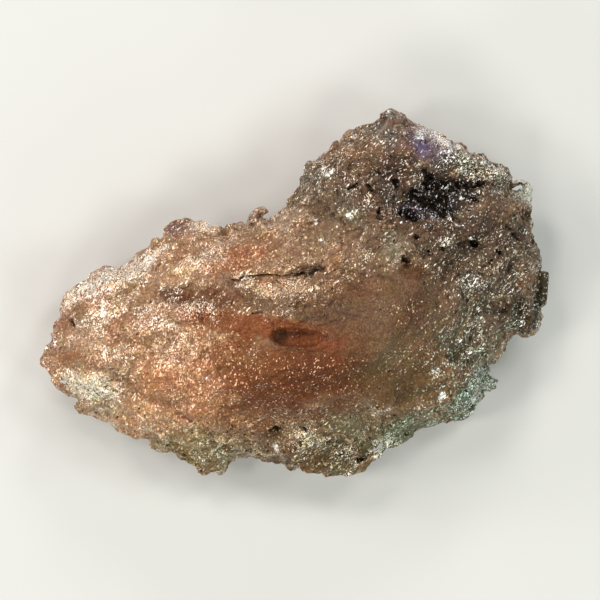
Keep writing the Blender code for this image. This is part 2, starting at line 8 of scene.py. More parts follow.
import math
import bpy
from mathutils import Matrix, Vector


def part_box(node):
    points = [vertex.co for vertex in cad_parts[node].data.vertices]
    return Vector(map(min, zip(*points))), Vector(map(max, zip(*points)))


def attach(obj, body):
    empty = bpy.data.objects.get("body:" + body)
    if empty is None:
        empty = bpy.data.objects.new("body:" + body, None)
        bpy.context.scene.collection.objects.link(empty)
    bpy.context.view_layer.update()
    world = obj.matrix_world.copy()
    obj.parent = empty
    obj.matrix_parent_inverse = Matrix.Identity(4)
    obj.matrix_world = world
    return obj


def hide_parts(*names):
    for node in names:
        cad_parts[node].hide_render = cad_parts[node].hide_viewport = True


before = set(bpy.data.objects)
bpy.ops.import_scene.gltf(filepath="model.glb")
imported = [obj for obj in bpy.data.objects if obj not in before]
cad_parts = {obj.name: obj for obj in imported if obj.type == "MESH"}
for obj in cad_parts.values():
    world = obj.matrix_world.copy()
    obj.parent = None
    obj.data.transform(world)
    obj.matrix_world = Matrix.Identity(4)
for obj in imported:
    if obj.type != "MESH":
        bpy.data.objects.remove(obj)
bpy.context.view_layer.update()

from types import SimpleNamespace

import bmesh
import bpy
import numpy as np
from mathutils import Vector, noise

METRES = 0.001
MM = 1000.0
PIXEL = 0.14  # millimetres of the stone in one pixel of the picture
PICTURE_SIDE = 600  # pixels
PICTURE_MIDDLE = (0.77, -0.84)  # the point of the stone under the picture's middle

# Geometry of the etched surface, in millimetres.
GRAIN_ANGLE = math.radians(17)
GRAIN_STRETCH = 2.4
STREAK_ANGLE = math.radians(50)
SLIVER_ANGLE = math.radians(76)
CREST_SIZE, CREST_HEIGHT = 2.4, 0.55  # ridges along the grain
SCALLOP_SIZE, SCALLOP_DEPTH, SCALLOP_STRETCH = 1.15, 0.42, 1.5  # rounded pits between sharp crests
FACET_SIZE, FACET_DEPTH, FACET_STRETCH = 0.55, 0.16, 1.4
HOLLOW_SIZE, HOLLOW_DEPTH, HOLLOW_STRETCH = 1.8, 0.5, 2.0  # pits on the floor of the dark hollow
HOLE_DEPTH, CAVE_DEPTH, CRACK_SHARE = 0.9, 0.9, 0.7
PATCH_SIZE, PATCH_LEVEL, PATCH_RANGE = 7, 0.55, 0.45  # patches where the scallops are deeper
RELIEF_LEVEL = 0.45  # the height of a crest or a facet that leaves the solid's surface where it is
WANDER_SIZE, WANDER, CAVE_WANDER = 3.0, 0.35, 0.8  # of the edges of windows and hollows
WINDOW_BLEND, HOLLOW_BLEND, CAVE_BLEND, PRISM_BLEND = 0.4, 0.3, 0.25, 0.25  # how soft those are
RELIEF_SLOPES = (-0.25, 0.3)  # upward part of the normal, from the back's relief to the face's
WEAR_AND_RELIEF_SHADE = (0.6, 0.7, 0.5)  # shares of the crests, scallops and facets in how worn a place is, and in the painted shade of its pits and painted light on its crests
SIDE_BULGE_LIMIT = 0.25  # how far anything may stand out past the solid's outline
BACK_COARSENESS = 0.6  # the broken back has this share of the face's relief
WINDOW_CALM = (0.6, 0.85, 0.7)  # how far the windows flatten crests, scallops and facets

# Noise: how far apart two seeds' patterns lie, and how rough the fractal is.
FRACTAL_STEP, CELL_STEP = (7.3, 3.1, 5.7), (3.7, 9.1, 2.3)
FRACTAL_DECAY, FRACTAL_GAP = 0.9, 2.1
CREST_SHARPNESS = 2.2


def rotated(points, angle):
    c, s = math.cos(angle), math.sin(angle)
    turned = points.copy()
    turned[:, 0] = points[:, 0] * c + points[:, 1] * s
    turned[:, 1] = -points[:, 0] * s + points[:, 1] * c
    return turned


def fractal(points, size, seed, octaves=3):
    """Fractal noise of about -1 to 1, its largest lumps `size` millimetres across."""
    start = Vector([seed * step for step in FRACTAL_STEP])
    shape = (FRACTAL_DECAY, FRACTAL_GAP, octaves)
    return np.array([noise.fractal(Vector(p) + start, *shape) for p in points / size])


def crests(points, size, seed):
    """Sharp ridges along the grain, 0 to 1."""
    along = rotated(points, GRAIN_ANGLE)
    along[:, 0] /= GRAIN_STRETCH
    return 1 - np.minimum(1, CREST_SHARPNESS * np.abs(fractal(along, size, seed)))


def cell_distances(points, seed):
    """Each point's distances to the middles of the scattered cells, the nearest first."""
    start = Vector([seed * step for step in CELL_STEP])
    return np.array([noise.voronoi(Vector(p) + start)[0] for p in points])


def scallops(points, size, seed, stretch):
    """Rounded pits that meet in sharp crests: 0 at the bottom of a pit and about 1 on a crest."""
    along = rotated(points, GRAIN_ANGLE)
    along[:, 0] /= stretch
    return cell_distances(along / size, seed)[:, 0]


def seams(points, size, seed):
    """How much nearer the nearest cell is than the next: 0 on the thin seams between cells."""
    distances = cell_distances(points / size, seed)
    return distances[:, 1] - distances[:, 0]


def smoothstep(low, high, value):
    t = np.clip((value - low) / (high - low), 0, 1)
    return t * t * (3 - 2 * t)


def ellipse(points, centre, halves, angle, soft, warp=0.0):
    """1 inside an ellipse in plan and 0 outside, with a soft edge that the warp makes ragged."""
    turn = math.radians(angle)
    dx, dy = points[:, 0] - centre[0], points[:, 1] - centre[1]
    along = dx * math.cos(turn) + dy * math.sin(turn)
    across = -dx * math.sin(turn) + dy * math.cos(turn)
    radius = np.hypot(along / halves[0], across / halves[1]) + warp
    return 1 - smoothstep(1 - soft, 1 + soft, radius)


# The main things to see on the face, in plan: (centre, half axes, angle).
WINDOWS = [((3.5, -10.5), (15.0, 7.2), 4), ((14.0, -3.5), (9.5, 6.0), 15), ((-5.5, -4.6), (6.0, 2.4), -6)]
WINDOW_ROUNDS, WINDOW_SMOOTHING, WINDOW_EDGE, WINDOW_LEVEL = 4, 0.5, 0.3, 0.3
DETAIL_MARGIN = 0.5  # the mesh is finer this near to a hole's rim or to the crack
MERGE_DISTANCE = 1e-7  # metres
DARK_HOLLOW = ((21.3, 13.6), (6.2, 3.4), 12)
CAVE = ((0.1, -6.0), (3.2, 1.15), -3)
PRISM = ((34.9, 0.6), (1.15, 3.3), 0)
SOUTH_EYELET, EYELET_ANGLE = (11.4, -21.7), math.radians(42)
EYELET_SIDE = 1.2  # from its middle line to its inner side, as subdivided
EYELET_SHIFT = (-0.35, -0.85)  # along and across, to bring that side back out
EYELET_START, EYELET_FULL, EYELET_LENGTH, EYELET_END = -0.2, 0.9, 3, 4  # all but the first in sides
CRACK = [(-8.6, 1.96), (-6.6, 2.2), (-4.8, 2.44), (-1.96, 2.5), (0.2, 2.7), (2.4, 3.1), (3.85, 3.5)]
# Dark holes, sunk and painted near black as their shade: (start, end, radius) of a short run in plan.
# The biggest are in the lobe's hollow.
HOLES = [
    ((18.5, 16.6), (19.2, 14.6), 0.7), ((19.3, 14.6), (22.5, 15.0), 0.8), ((22.5, 15.0), (26.9, 15.6), 0.4),
    ((17.0, 13.4), (20.4, 12.4), 1.0), ((15.4, 11.0), (16.8, 10.5), 0.65), ((20.6, 14.6), (20.6, 11.4), 0.7),
    ((21.2, 12.4), (22.0, 10.4), 0.2), ((24.0, 13.6), (25.2, 13.0), 0.22), ((11.8, 12.0), (11.8, 10.5), 0.2),
    ((13.9, 15.7), (14.2, 14.6), 0.24), ((16.7, 8.1), (16.9, 7.8), 0.22), ((19.1, 9.1), (19.5, 8.8), 0.24),
    ((11.4, 17.3), (11.7, 16.8), 0.14), ((15.2, 4.7), (15.5, 4.4), 0.34), ((18.6, 5.7), (19.0, 5.4), 0.18),
    ((22.6, 6.9), (22.9, 6.8), 0.18), ((24.6, 7.2), (25.0, 6.9), 0.26), ((29.6, 9.4), (30.2, 9.0), 0.2),
    ((32.2, 11.2), (32.6, 11.0), 0.26), ((27.2, 4.4), (27.5, 4.7), 0.16), ((-31.2, -3.7), (-31.0, -4.2), 0.2),
    ((-25.2, -13.4), (-24.8, -13.6), 0.16), ((-5.8, -2.7), (-4.4, -2.55), 0.08),
    ((-3.4, -18.9), (-2.0, -19.0), 0.26), ((0.8, -18.8), (1.5, -18.7), 0.16),
    ((-9.8, -21.4), (-9.3, -21.5), 0.2), ((4.7, -20.9), (5.1, -20.8), 0.18),
    ((11.0, -21.6), (11.6, -21.0), 0.3), ((9.0, -23.3), (9.8, -22.8), 0.18),
    ((30.4, 8.3), (31.2, 7.6), 0.18), ((32.3, 6.9), (32.5, 6.6), 0.16), ((30.5, 10.7), (30.7, 10.5), 0.15),
    ((28.1, 5.9), (28.5, 5.7), 0.22), ((20.4, 6.3), (20.7, 6.1), 0.14), ((10.1, 15.0), (10.8, 14.4), 0.2),
    ((7.4, 14.5), (8.7, 15.3), 0.12), ((1.6, 16.0), (1.9, 15.8), 0.15),
    ((29.4, -10.4), (30.2, -9.6), 0.22), ((28.6, -2.4), (29.3, -2.2), 0.18),
]  # fmt: skip
HOLE_LUMP, HOLE_TOOTH, HOLE_RAGGEDNESS = 0.9, 0.4, 0.25  # sizes and strength of the rims' unevenness
HOLE_FLOOR, HOLE_RIM = 0.6, 1.35  # shares of the radius: flat inside the first, gone past the second
LEAST_RAGGED, LEAST_RIM = 0.3, 0.05  # and what the smallest hole has of both, in millimetres
BRIDGE_SPACING, BRIDGE_EDGES, BRIDGE_STRENGTH = 1.9, (0.12, 0.03), 0.7
CRACK_FRAYS = (-1.5, 3.5)  # where the crack starts to fray, and where it has frayed most, in x
CRACK_TOOTH = 0.5
CRACK_RAGGED, CRACK_WIDTH = (0.06, 0.35), (0.13, 0.09)  # in the west, and what the east adds


def run_distance(points, start, end):
    """Each point's distance in plan to a straight run."""
    start, run = np.array(start, float), np.array(end, float) - np.array(start, float)
    share = np.clip(((points[:, :2] - start) @ run) / (run @ run), 0, 1)
    return np.hypot(*(points[:, :2] - start - share[:, None] * run).T)


def hole_depth(points):
    """How deep the stone is holed at each point in plan, from 0 to about 1, with ragged edges."""
    ragged = HOLE_RAGGEDNESS * fractal(points, HOLE_LUMP, seed=41)
    ragged += HOLE_RAGGEDNESS * fractal(points, HOLE_TOOTH, seed=42, octaves=2)
    bridges = smoothstep(*BRIDGE_EDGES, seams(points, BRIDGE_SPACING, seed=44))
    depth = np.zeros(len(points))
    for start, end, radius in HOLES:
        reach = run_distance(points, start, end) + ragged * (LEAST_RAGGED + radius)
        floor_edge, rim = HOLE_FLOOR * radius, HOLE_RIM * radius + LEAST_RIM
        depth = np.maximum(depth, 1 - smoothstep(floor_edge, rim, reach))
    return depth * (1 - BRIDGE_STRENGTH * bridges)


def crack_depth(points):
    """1 in the middle of the long crack, which frays at its east end."""
    distance = np.min([run_distance(points, a, b) for a, b in zip(CRACK[:-1], CRACK[1:])], axis=0)
    east = smoothstep(*CRACK_FRAYS, points[:, 0])
    ragged = CRACK_RAGGED[0] + CRACK_RAGGED[1] * east
    ragged *= fractal(points, CRACK_TOOTH, seed=43, octaves=2)
    half_width = CRACK_WIDTH[0] + CRACK_WIDTH[1] * east
    return np.exp(-(((distance + ragged) / half_width) ** 2))


def near_detail(points):
    """True by a hole's rim or the crack, where the mesh has to be finer."""
    near = np.zeros(len(points), bool)
    for start, end, radius in HOLES:
        near |= np.abs(run_distance(points, start, end) - radius) < DETAIL_MARGIN
    for start, end in zip(CRACK[:-1], CRACK[1:]):
        near |= run_distance(points, start, end) < DETAIL_MARGIN
    return near


def smooth_windows(bm):
    """Ease the lumps of the solid where the crystal is smooth and clear."""
    upper = [v for v in bm.verts if v.normal.z > WINDOW_LEVEL]
    points = np.array([v.co for v in upper]) * MM
    inside = np.max([ellipse(points, *where, WINDOW_EDGE) for where in WINDOWS], axis=0) > 0.5
    smooth = [v for v, calm in zip(upper, inside) if calm]
    for _ in range(WINDOW_ROUNDS):
        bmesh.ops.smooth_vert(bm, verts=smooth, factor=WINDOW_SMOOTHING, use_axis_z=True)


def node_mesh(name, subdivisions):
    """A CAD node's solid with its corners merged, its windows eased and its faces cut smaller."""
    bm = bmesh.new()
    bm.from_mesh(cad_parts[name].data)
    bmesh.ops.remove_doubles(bm, verts=bm.verts, dist=MERGE_DISTANCE)
    bm.normal_update()
    smooth_windows(bm)
    mesh = bpy.data.meshes.new("coarse")
    bm.to_mesh(mesh)
    bm.free()
    coarse = bpy.data.objects.new("coarse", mesh)
    bpy.context.scene.collection.objects.link(coarse)
    for kind in subdivisions:
        cut = coarse.modifiers.new(kind, "SUBSURF")
        cut.subdivision_type, cut.levels, cut.render_levels = kind, 1, 1
    fine = bpy.data.meshes.new_from_object(coarse.evaluated_get(bpy.context.evaluated_depsgraph_get()))
    bpy.data.objects.remove(coarse)
    return fine


def refine(mesh):
    """Split the faces by the holes and the crack, where they look up."""
    bm = bmesh.new()
    bm.from_mesh(mesh)
    bmesh.ops.triangulate(bm, faces=bm.faces)
    bm.normal_update()
    faces = [f for f in bm.faces if f.normal.z > 0.0]
    middles = np.array([f.calc_center_median() for f in faces]) * MM
    edges = {e for f, near in zip(faces, near_detail(middles)) if near for e in f.edges}
    bmesh.ops.subdivide_edges(bm, edges=list(edges), cuts=1)
    bmesh.ops.triangulate(bm, faces=[f for f in bm.faces if len(f.verts) > 3])
    bm.to_mesh(mesh)
    bm.free()


def vertex_arrays(mesh):
    """The vertices' places in millimetres, and their normals."""
    count = len(mesh.vertices)
    places, normals = np.zeros(count * 3), np.zeros(count * 3)
    mesh.vertices.foreach_get("co", places)
    mesh.vertex_normals.foreach_get("vector", normals)
    return places.reshape(-1, 3) * MM, normals.reshape(-1, 3)


def with_narrow_eyelet(points):
    """The points with the slot through the south rim drawn in, as the subdivision rounds it open."""
    c, s = math.cos(EYELET_ANGLE), math.sin(EYELET_ANGLE)
    dx, dy = points[:, 0] - SOUTH_EYELET[0], points[:, 1] - SOUTH_EYELET[1]
    along, across = dx * c + dy * s, -dx * s + dy * c
    share = smoothstep(EYELET_START, EYELET_FULL * EYELET_SIDE, across)
    share *= 1 - smoothstep(EYELET_SIDE, EYELET_END * EYELET_SIDE, across)
    share *= 1 - smoothstep(EYELET_SIDE, EYELET_LENGTH * EYELET_SIDE, np.abs(along))
    x = EYELET_SHIFT[0] * c - EYELET_SHIFT[1] * s
    y = EYELET_SHIFT[0] * s + EYELET_SHIFT[1] * c
    return points + share[:, None] * np.array([x, y, 0.0])


def etched(points, normals):
    """The points moved along their normals by the etched relief, and how high on a crest each of them is,
    which gives its wear and the painted shade and light of its relief.
    """
    warp = WANDER * fractal(points, WANDER_SIZE, seed=21)
    upward = smoothstep(*RELIEF_SLOPES, normals[:, 2])
    amount = BACK_COARSENESS + (1 - BACK_COARSENESS) * upward
    window = np.max([ellipse(points, *where, WINDOW_BLEND, warp) for where in WINDOWS], axis=0)
    window *= upward
    hollow = ellipse(points, *DARK_HOLLOW, HOLLOW_BLEND, warp) * upward
    cave = ellipse(points, *CAVE, CAVE_BLEND, CAVE_WANDER * warp) * upward
    on_prism = ellipse(points, *PRISM, PRISM_BLEND)
    broad = crests(points, CREST_SIZE, seed=1) - RELIEF_LEVEL
    cupped = scallops(points, SCALLOP_SIZE, 2, SCALLOP_STRETCH) - RELIEF_LEVEL
    fine = scallops(points, FACET_SIZE, 3, FACET_STRETCH) - RELIEF_LEVEL
    patchy = PATCH_LEVEL + PATCH_RANGE * fractal(points, PATCH_SIZE, seed=4)
    calm_crests, calm_scallops, calm_facets = (1 - share * window for share in WINDOW_CALM)
    relief = CREST_HEIGHT * broad * calm_crests
    relief += SCALLOP_DEPTH * cupped * patchy * calm_scallops
    relief += FACET_DEPTH * fine * (1 + hollow) * calm_facets
    relief -= HOLE_DEPTH * np.maximum(hole_depth(points), CRACK_SHARE * crack_depth(points)) * upward
    relief -= HOLLOW_DEPTH * hollow * scallops(points, HOLLOW_SIZE, 5, HOLLOW_STRETCH)
    relief -= CAVE_DEPTH * cave
    relief *= 1 - on_prism
    wear_and_relief_shade = WEAR_AND_RELIEF_SHADE[0] * broad + WEAR_AND_RELIEF_SHADE[1] * cupped + WEAR_AND_RELIEF_SHADE[2] * fine
    wear_and_relief_shade = np.clip(wear_and_relief_shade, -1, 1) * calm_facets
    return points + normals * (relief * amount)[:, None], wear_and_relief_shade


def kept_inside(points, low, high):
    """The points, no lower than the floor and no further out than the solid's own box."""
    points = np.minimum(points, high + SIDE_BULGE_LIMIT)
    lowest = low - SIDE_BULGE_LIMIT
    lowest[2] = 0.0
    return np.maximum(points, lowest)


def colour(*srgb):
    """Linear colour of an sRGB one given in 0 to 255."""
    shares = [c / 255 for c in srgb]
    return np.array([c / 12.92 if c < 0.04045 else ((c + 0.055) / 1.055) ** 2.4 for c in shares])


# Zones of colour on the face: name, (centre, half axes, angle), colour, strength.
ZONES = [
    ("lobe and east", ((17, 9), (21, 17), -10), (130, 106, 86), 0.85),
    ("south side", ((6, -20), (22, 6), 4), (136, 116, 82), 0.75),
    ("west end", ((-30, -5), (9, 10), 20), (182, 139, 112), 0.9),
    ("west peach", ((-20, -8), (8, 7), 15), (188, 140, 106), 0.8),
    ("north-west tan", ((-15, 3), (9, 6), 28), (196, 150, 118), 0.8),
    ("south-west peach", ((-19, -16), (9, 5), -15), (226, 173, 132), 0.85),
    ("tan patch", ((-16.6, 2.8), (2.6, 1.4), 30), (232, 188, 152), 0.8),
    ("west pink", ((-28.4, -6.2), (3.2, 1.6), 10), (212, 172, 142), 0.75),
    ("west orange", ((-30.0, -9.9), (2.6, 1.3), -20), (176, 106, 68), 0.8),
    ("orange flank", ((-12.5, -12.5), (7.5, 6.5), 0), (214, 151, 112), 0.85),
    ("lip peach", ((-12.2, -6.0), (2.8, 1.4), 10), (220, 178, 136), 0.65),
    ("south-west brown", ((-15.8, -14.8), (2.6, 1.8), 0), (164, 126, 96), 0.75),
    ("north centre", ((0, 6.8), (9, 4.8), 12), (184, 142, 111), 0.8),
    ("north grey", ((3.6, 8.0), (3.2, 2.2), 20), (138, 124, 106), 0.55),
    ("orange fold", ((-7.6, 4.6), (3.6, 1.8), 20), (182, 114, 84), 0.75),
    ("brown fold", ((-9.5, -0.6), (4.5, 1.6), -4), (118, 76, 56), 0.85),
    ("west brown spot", ((-16.2, -0.3), (2.3, 1.3), -10), (92, 54, 34), 0.9),
    ("west brown heart", ((-16.6, -0.1), (1.3, 0.45), -5), (88, 52, 38), 0.8),
    ("crack flesh", ((-2.2, 0.7), (5.6, 1.7), 4), (182, 138, 108), 0.75),
    ("smooth tan", ((-9.7, 2.0), (2.1, 0.85), -50), (186, 143, 118), 0.9),
    ("grey over lip", ((2.5, -2.2), (9.5, 1.6), -9), (118, 94, 76), 0.65),
    ("rust core", ((1.5, -11.5), (11.5, 6.0), 4), (104, 52, 28), 0.9),
    ("orange core", ((-8.0, -9.6), (5.4, 3.4), 10), (146, 84, 48), 0.65),
    ("dark core", ((4.8, -9.8), (6.8, 3.4), 8), (90, 46, 28), 0.75),
    ("south core", ((-4.2, -15.2), (5.0, 2.0), 0), (114, 54, 24), 0.6),
    ("red band", ((-2.5, -4.9), (12.0, 1.7), -10), (146, 76, 46), 0.9),
    ("olive", ((15.5, -10.5), (6.5, 6.0), 10), (100, 76, 50), 0.85),
    ("taupe", ((12.0, -2.0), (9.0, 4.6), 12), (98, 71, 55), 0.85),
    ("taupe east", ((17.6, -2.2), (2.8, 1.8), 10), (74, 50, 38), 0.55),
    ("olive north", ((14.0, -8.0), (2.6, 1.8), 0), (124, 104, 80), 0.6),
    ("middle rust", ((7.6, 0.8), (3.4, 1.8), 15), (108, 72, 52), 0.6),
    ("east grey", ((27.5, 4.0), (7, 9), 90), (80, 68, 56), 0.85),
    ("east mauve", ((27.6, 9.2), (4.6, 3.4), -20), (66, 51, 48), 0.78),
    ("middle east", ((20.0, 0.0), (3.2, 2.6), 0), (84, 62, 50), 0.6),
    ("east dark", ((31.4, -3.0), (3.0, 2.2), 10), (52, 42, 29), 0.9),
    ("lobe tan", ((4.4, 15.0), (5.0, 6), 40), (118, 102, 85), 0.8),
    ("lobe brown", ((12.4, 16.8), (6.0, 6), 20), (92, 71, 58), 0.8),
    ("lobe north", ((15.0, 17.8), (2.4, 2.1), 0), (50, 36, 30), 0.8),
    ("lobe south", ((11.3, 7.6), (2.8, 1.8), 0), (96, 76, 70), 0.6),
    ("lobe pale spot", ((7.6, 11.0), (1.2, 0.9), -30), (176, 156, 130), 0.7),
    ("peak", ((12.8, 24.6), (2.6, 1.6), 20), (98, 90, 80), 0.8),
    ("mauve", ((15.4, 22.0), (3.4, 1.8), -20), (104, 78, 74), 0.8),
    ("lobe crown", ((11.8, 22.0), (2.4, 1.7), 0), (88, 84, 80), 0.65),
    ("lilac", ((18.3, 19.9), (2.7, 1.6), -35), (108, 96, 120), 0.85),
    ("lilac heart", ((17.8, 20.2), (1.0, 0.6), -30), (86, 80, 122), 0.7),
    ("north-east band", ((24.6, 17.6), (6.0, 2.0), -14), (68, 57, 41), 0.9),
    ("pale green", ((14.0, 6.2), (1.8, 2.0), -20), (168, 153, 132), 0.8),
    ("east rust", ((16.1, 3.2), (1.9, 1.25), -8), (78, 53, 36), 0.93),
    ("south-east pale", ((25.0, -6.0), (4.0, 5.0), 60), (92, 83, 69), 0.75),
    ("green rim", ((25.4, -13.6), (6.6, 2.4), 57), (70, 90, 72), 0.85),
    ("rim rust", ((23.6, -11.2), (1.8, 1.3), 0), (112, 76, 54), 0.7),
    ("green foot", ((14.5, -19.9), (6.5, 2.1), 22), (94, 106, 78), 0.8),
    ("green fan", ((8.4, -18.6), (3.4, 1.6), 6), (140, 136, 108), 0.6),
    ("south rib", ((5.0, -23.2), (8.0, 2.8), 0), (98, 79, 52), 0.85),
    ("south keel", ((7.5, -25.0), (4.5, 0.9), 4), (120, 120, 92), 0.7),
    ("south middle", ((-4.5, -19.8), (6.0, 2.8), -4), (166, 125, 94), 0.75),
    ("south orange", ((-7.8, -17.6), (3.4, 1.5), 0), (146, 100, 72), 0.6),
    ("south dark spot", ((-3.0, -19.4), (1.8, 0.8), 0), (62, 40, 28), 0.85),
    ("yellow fringe", ((-13.2, -21.8), (7.0, 3.0), -6), (148, 129, 88), 0.85),
    ("apron cream", ((-27.5, -13.5), (4.5, 3.2), -25), (198, 176, 144), 0.8),
    ("apron brown", ((-22.4, -13.0), (2.4, 1.6), -20), (156, 104, 74), 0.4),
    ("ear", ((32.0, 14.2), (1.8, 1.6), 0), (196, 204, 188), 0.95),
    ("prism", ((34.9, 0.6), (1.1, 3.4), 0), (50, 45, 36), 0.9),
    ("knob purple", ((-16.2, 9.2), (2.2, 1.3), 10), (122, 78, 76), 0.8),
    ("knob cream", ((-12.6, 9.6), (2.2, 1.1), 0), (206, 168, 136), 0.8),
    ("north-west rim", ((-24.6, 5.4), (6.0, 1.2), 34), (172, 130, 104), 0.7),
    ("north rim", ((-2, 10.6), (3.2, 1.4), 10), (198, 168, 144), 0.75),
    # The hollow's walls are painted near black, a painted shade.
    ("hollow walls", ((20.8, 13.6), (5.4, 3.1), 8), (38, 34, 34), 0.95),
    ("purple wall", ((15.8, 11.2), (1.6, 0.9), -10), (52, 40, 56), 0.8),
    ("cave", ((0.2, -6.1), (3.3, 1.15), -4), (90, 46, 28), 0.95),
    # A painted shadow under the cave's upper edge.
    ("cave brow shadow", ((-0.6, -5.3), (2.8, 0.3), -6), (46, 22, 15), 0.8),
    ("cave end", ((-1.9, -5.8), (1.15, 0.75), 5), (42, 25, 18), 0.9),
    ("cave floor", ((1.1, -6.5), (2.0, 0.5), -4), (132, 68, 38), 0.6),
    ("cave rim", ((3.0, -6.2), (0.3, 0.8), 0), (168, 92, 50), 0.7),
]
CRISP_ZONES = (
    "east rust", "red band", "lilac", "lilac heart", "cave", "cave brow shadow", "cave end", "cave rim",
    "smooth tan", "hollow walls", "prism",
)  # fmt: skip
SOFT_EDGE, CRISP_EDGE, CRISP_WANDER = 0.6, 0.25, 0.6  # how blurred and how ragged zones' edges are
ZONE_WANDER = ((0.5, 4.5, 31), (0.25, 1.2, 32))  # of those edges: strength, size and seed, twice
BODY_COLOUR = (176, 136, 104)
BODY_SHADE, RIM_SHADE = 0.76, 0.2  # of the face, and of its steep rim on top of that
# TONE_ON_CRESTS paints the relief's shade and light into the tint: pits darker, crests paler.
TONE_ON_CRESTS, TONE_GRAIN, TONE_GRAIN_SIZE, TONE_RANGE = 0.12, 0.05, 0.7, (0.2, 1.5)
TONE_CALM = 0.6  # how far a smooth place evens out the painted shade and light of its crests
PAINTED_SLOPES, STEEP_SLOPES = (-0.3, 0.35), (0.5, 0.0)  # upward part of the normal
LOW_HEIGHTS = (15, 8)  # millimetres over the floor, where the stone counts as high and as low
WARM_DRIFT, OLIVE_DRIFT = (0.08, -0.02, -0.10), (-0.035, 0.03, -0.05)
WARM_SIZE, OLIVE_SIZE = 3.4, 2.3
# Holes and the crack are painted near black, a painted shade in them.
HOLE_SHADE_COLOUR, HOLE_DARKNESS, CRACK_DARKNESS = (12, 8, 6), 0.97, 0.95
# Painted glints: the tint is paled toward this near white on the GLINTS spots.
GLINT_COLOUR, PAINTED_GLINT_SHARE = (250, 248, 240), 0.35

# Colour of the bright flecks, as for the zones: pale frosted facets and painted sparkle.
FLECK_COLOUR = (236, 228, 214)
FLECKS = [
    ("west", ((-22, -3), (16, 13), 20), (250, 238, 220), 0.8),
    ("orange flank", ((-11, -12), (10, 7), 0), (238, 210, 178), 0.8),
    ("core", ((3, -10.5), (13, 6.5), 4), (238, 200, 170), 0.95),
    ("taupe", ((13, -4), (9, 6), 15), (206, 172, 140), 0.8),
    ("north", ((-2, 6), (10, 5), 12), (238, 210, 174), 0.75),
    ("crack", ((-0.8, 0.6), (5, 1.8), 4), (244, 210, 172), 0.8),
    ("west bar", ((-24.5, -8.1), (5, 3.0), 8), (240, 208, 178), 0.8),
    ("south", ((-2, -22), (20, 4.5), 2), (218, 208, 168), 0.85),
    ("south orange", ((-8, -17.5), (5, 2.2), 0), (214, 160, 116), 0.8),
    ("south-east", ((24, -12), (12, 8), 45), (196, 226, 210), 0.95),
    ("east", ((29, 2), (6, 10), 0), (206, 200, 180), 0.7),
    ("north-east", ((25, 17), (8, 4), -14), (234, 222, 192), 0.85),
    ("hollow", ((20.5, 12), (6, 4.5), 10), (228, 232, 236), 0.9),
    ("south-east glint", ((20.6, -14.4), (1.2, 0.9), 0), (214, 238, 248), 0.9),
    ("lilac", ((18, 20.5), (4, 3), -35), (230, 224, 246), 0.9),
]

# Frosting: its level all over, and what the low rim, patches, streaks and crests add to it.
FROST_LEVEL, FROST_LOW, FROST_PATCHES, FROST_STREAKS, FROST_ON_CRESTS = 0.26, 0.05, 0.1, 0.17, 0.1
FROST_PATCH_SIZE, STREAK_SIZE, STREAK_STRETCH = 5.0, 1.3, 2.1
FROST_RANGE, GLITTER_WANDER, STEEP_CALM = (0.06, 0.8), 0.6, 0.4

# Where the etching glitters: name, (centre, half axes, angle), strength.
GLITTER = [
    ("west white", ((-28.8, 1.7), (4.2, 1.5), 38), 1.2),
    ("west shoulder", ((-23.8, 2.5), (4.0, 1.4), 25), 0.42),
    ("west streak", ((-21.0, 4.4), (4.0, 0.8), 40), 0.7),
    ("far west", ((-32.0, -7.5), (2.2, 4.0), 20), -0.1),
    ("west pink", ((-28.2, -6.2), (2.8, 1.2), 10), 0.03),
    ("west blotch", ((-26.4, -2.8), (3.0, 1.4), 25), 0.2),
    ("west bar", ((-25.5, -8.2), (3.6, 1.0), 8), 0.12),
    ("lip cream", ((-20.6, -4.2), (2.6, 1.0), 10), 0.17),
    ("apron cream", ((-28.4, -12.6), (3.6, 1.6), -20), 0.75),
    ("north-west streaks", ((-11.5, 5.2), (4.6, 1.8), 42), 0.12),
    ("knob east", ((-12.6, 9.6), (2.0, 1.0), 0), 0.3),
    ("brown glints", ((-17.5, -2.2), (3.6, 1.4), 5), 0.15),
    ("lip west", ((-13.0, -2.9), (2.3, 1.5), -10), 0.35),
    ("lip peach", ((-12.2, -6.0), (2.6, 1.1), 10), 0.1),
    ("crack cream", ((-1.4, 0.7), (4.0, 1.2), 4), 0.22),
    ("crack foot", ((-7.2, 1.9), (1.6, 0.9), 0), 0.4),
    ("orange slivers", ((-12.5, -8.5), (5.0, 4.0), 0), 0.15),
    ("south slivers", ((-7.6, -18.6), (1.4, 2.6), 10), -0.1),
    ("south cream", ((0.8, -20.2), (3.0, 1.4), -10), 0.2),
    ("south rib", ((4.5, -21.0), (3.2, 1.4), 10), 0.08),
    ("south edge", ((3.5, -24.4), (8.0, 1.3), 0), -0.08),
    ("foot glint", ((11.8, -21.4), (2.0, 1.4), 40), 0.5),
    ("green rim", ((26.2, -12.6), (4.8, 1.9), 57), 0.15),
    ("green glint", ((20.4, -14.4), (1.4, 1.1), 0), 0.05),
    ("small glint", ((19.4, -11.0), (1.1, 0.8), 0), 0.35),
    ("east pale", ((22.8, -4.4), (3.6, 1.6), 25), 0.12),
    ("east slivers", ((23.4, 0.4), (3.0, 0.8), 22), 0.26),
    ("east rim", ((32.0, 5.0), (2.0, 7.0), 0), 0.05),
    ("north-east band", ((26.0, 17.0), (5.6, 1.7), -16), 0.38),
    ("peak rim", ((20.6, 21.6), (3.4, 0.9), -32), 0.38),
    ("lilac glint", ((17.4, 21.8), (0.7, 0.6), 0), 0.9),
    ("ear", ((32.2, 14.6), (1.6, 1.4), 0), 0.8),
    ("lobe spot", ((4.8, 16.8), (1.0, 0.8), 0), 0.25),
    ("lobe streak", ((8.0, 11.2), (1.9, 0.7), -45), 0.06),
    ("lobe rim", ((2.6, 15.8), (1.6, 3.0), -30), 0.15),
    ("under hollow", ((24.0, 9.2), (4.4, 2.4), -20), -0.22),
    ("hollow slivers", ((21.6, 13.0), (4.2, 2.4), 8), 0.16),
]
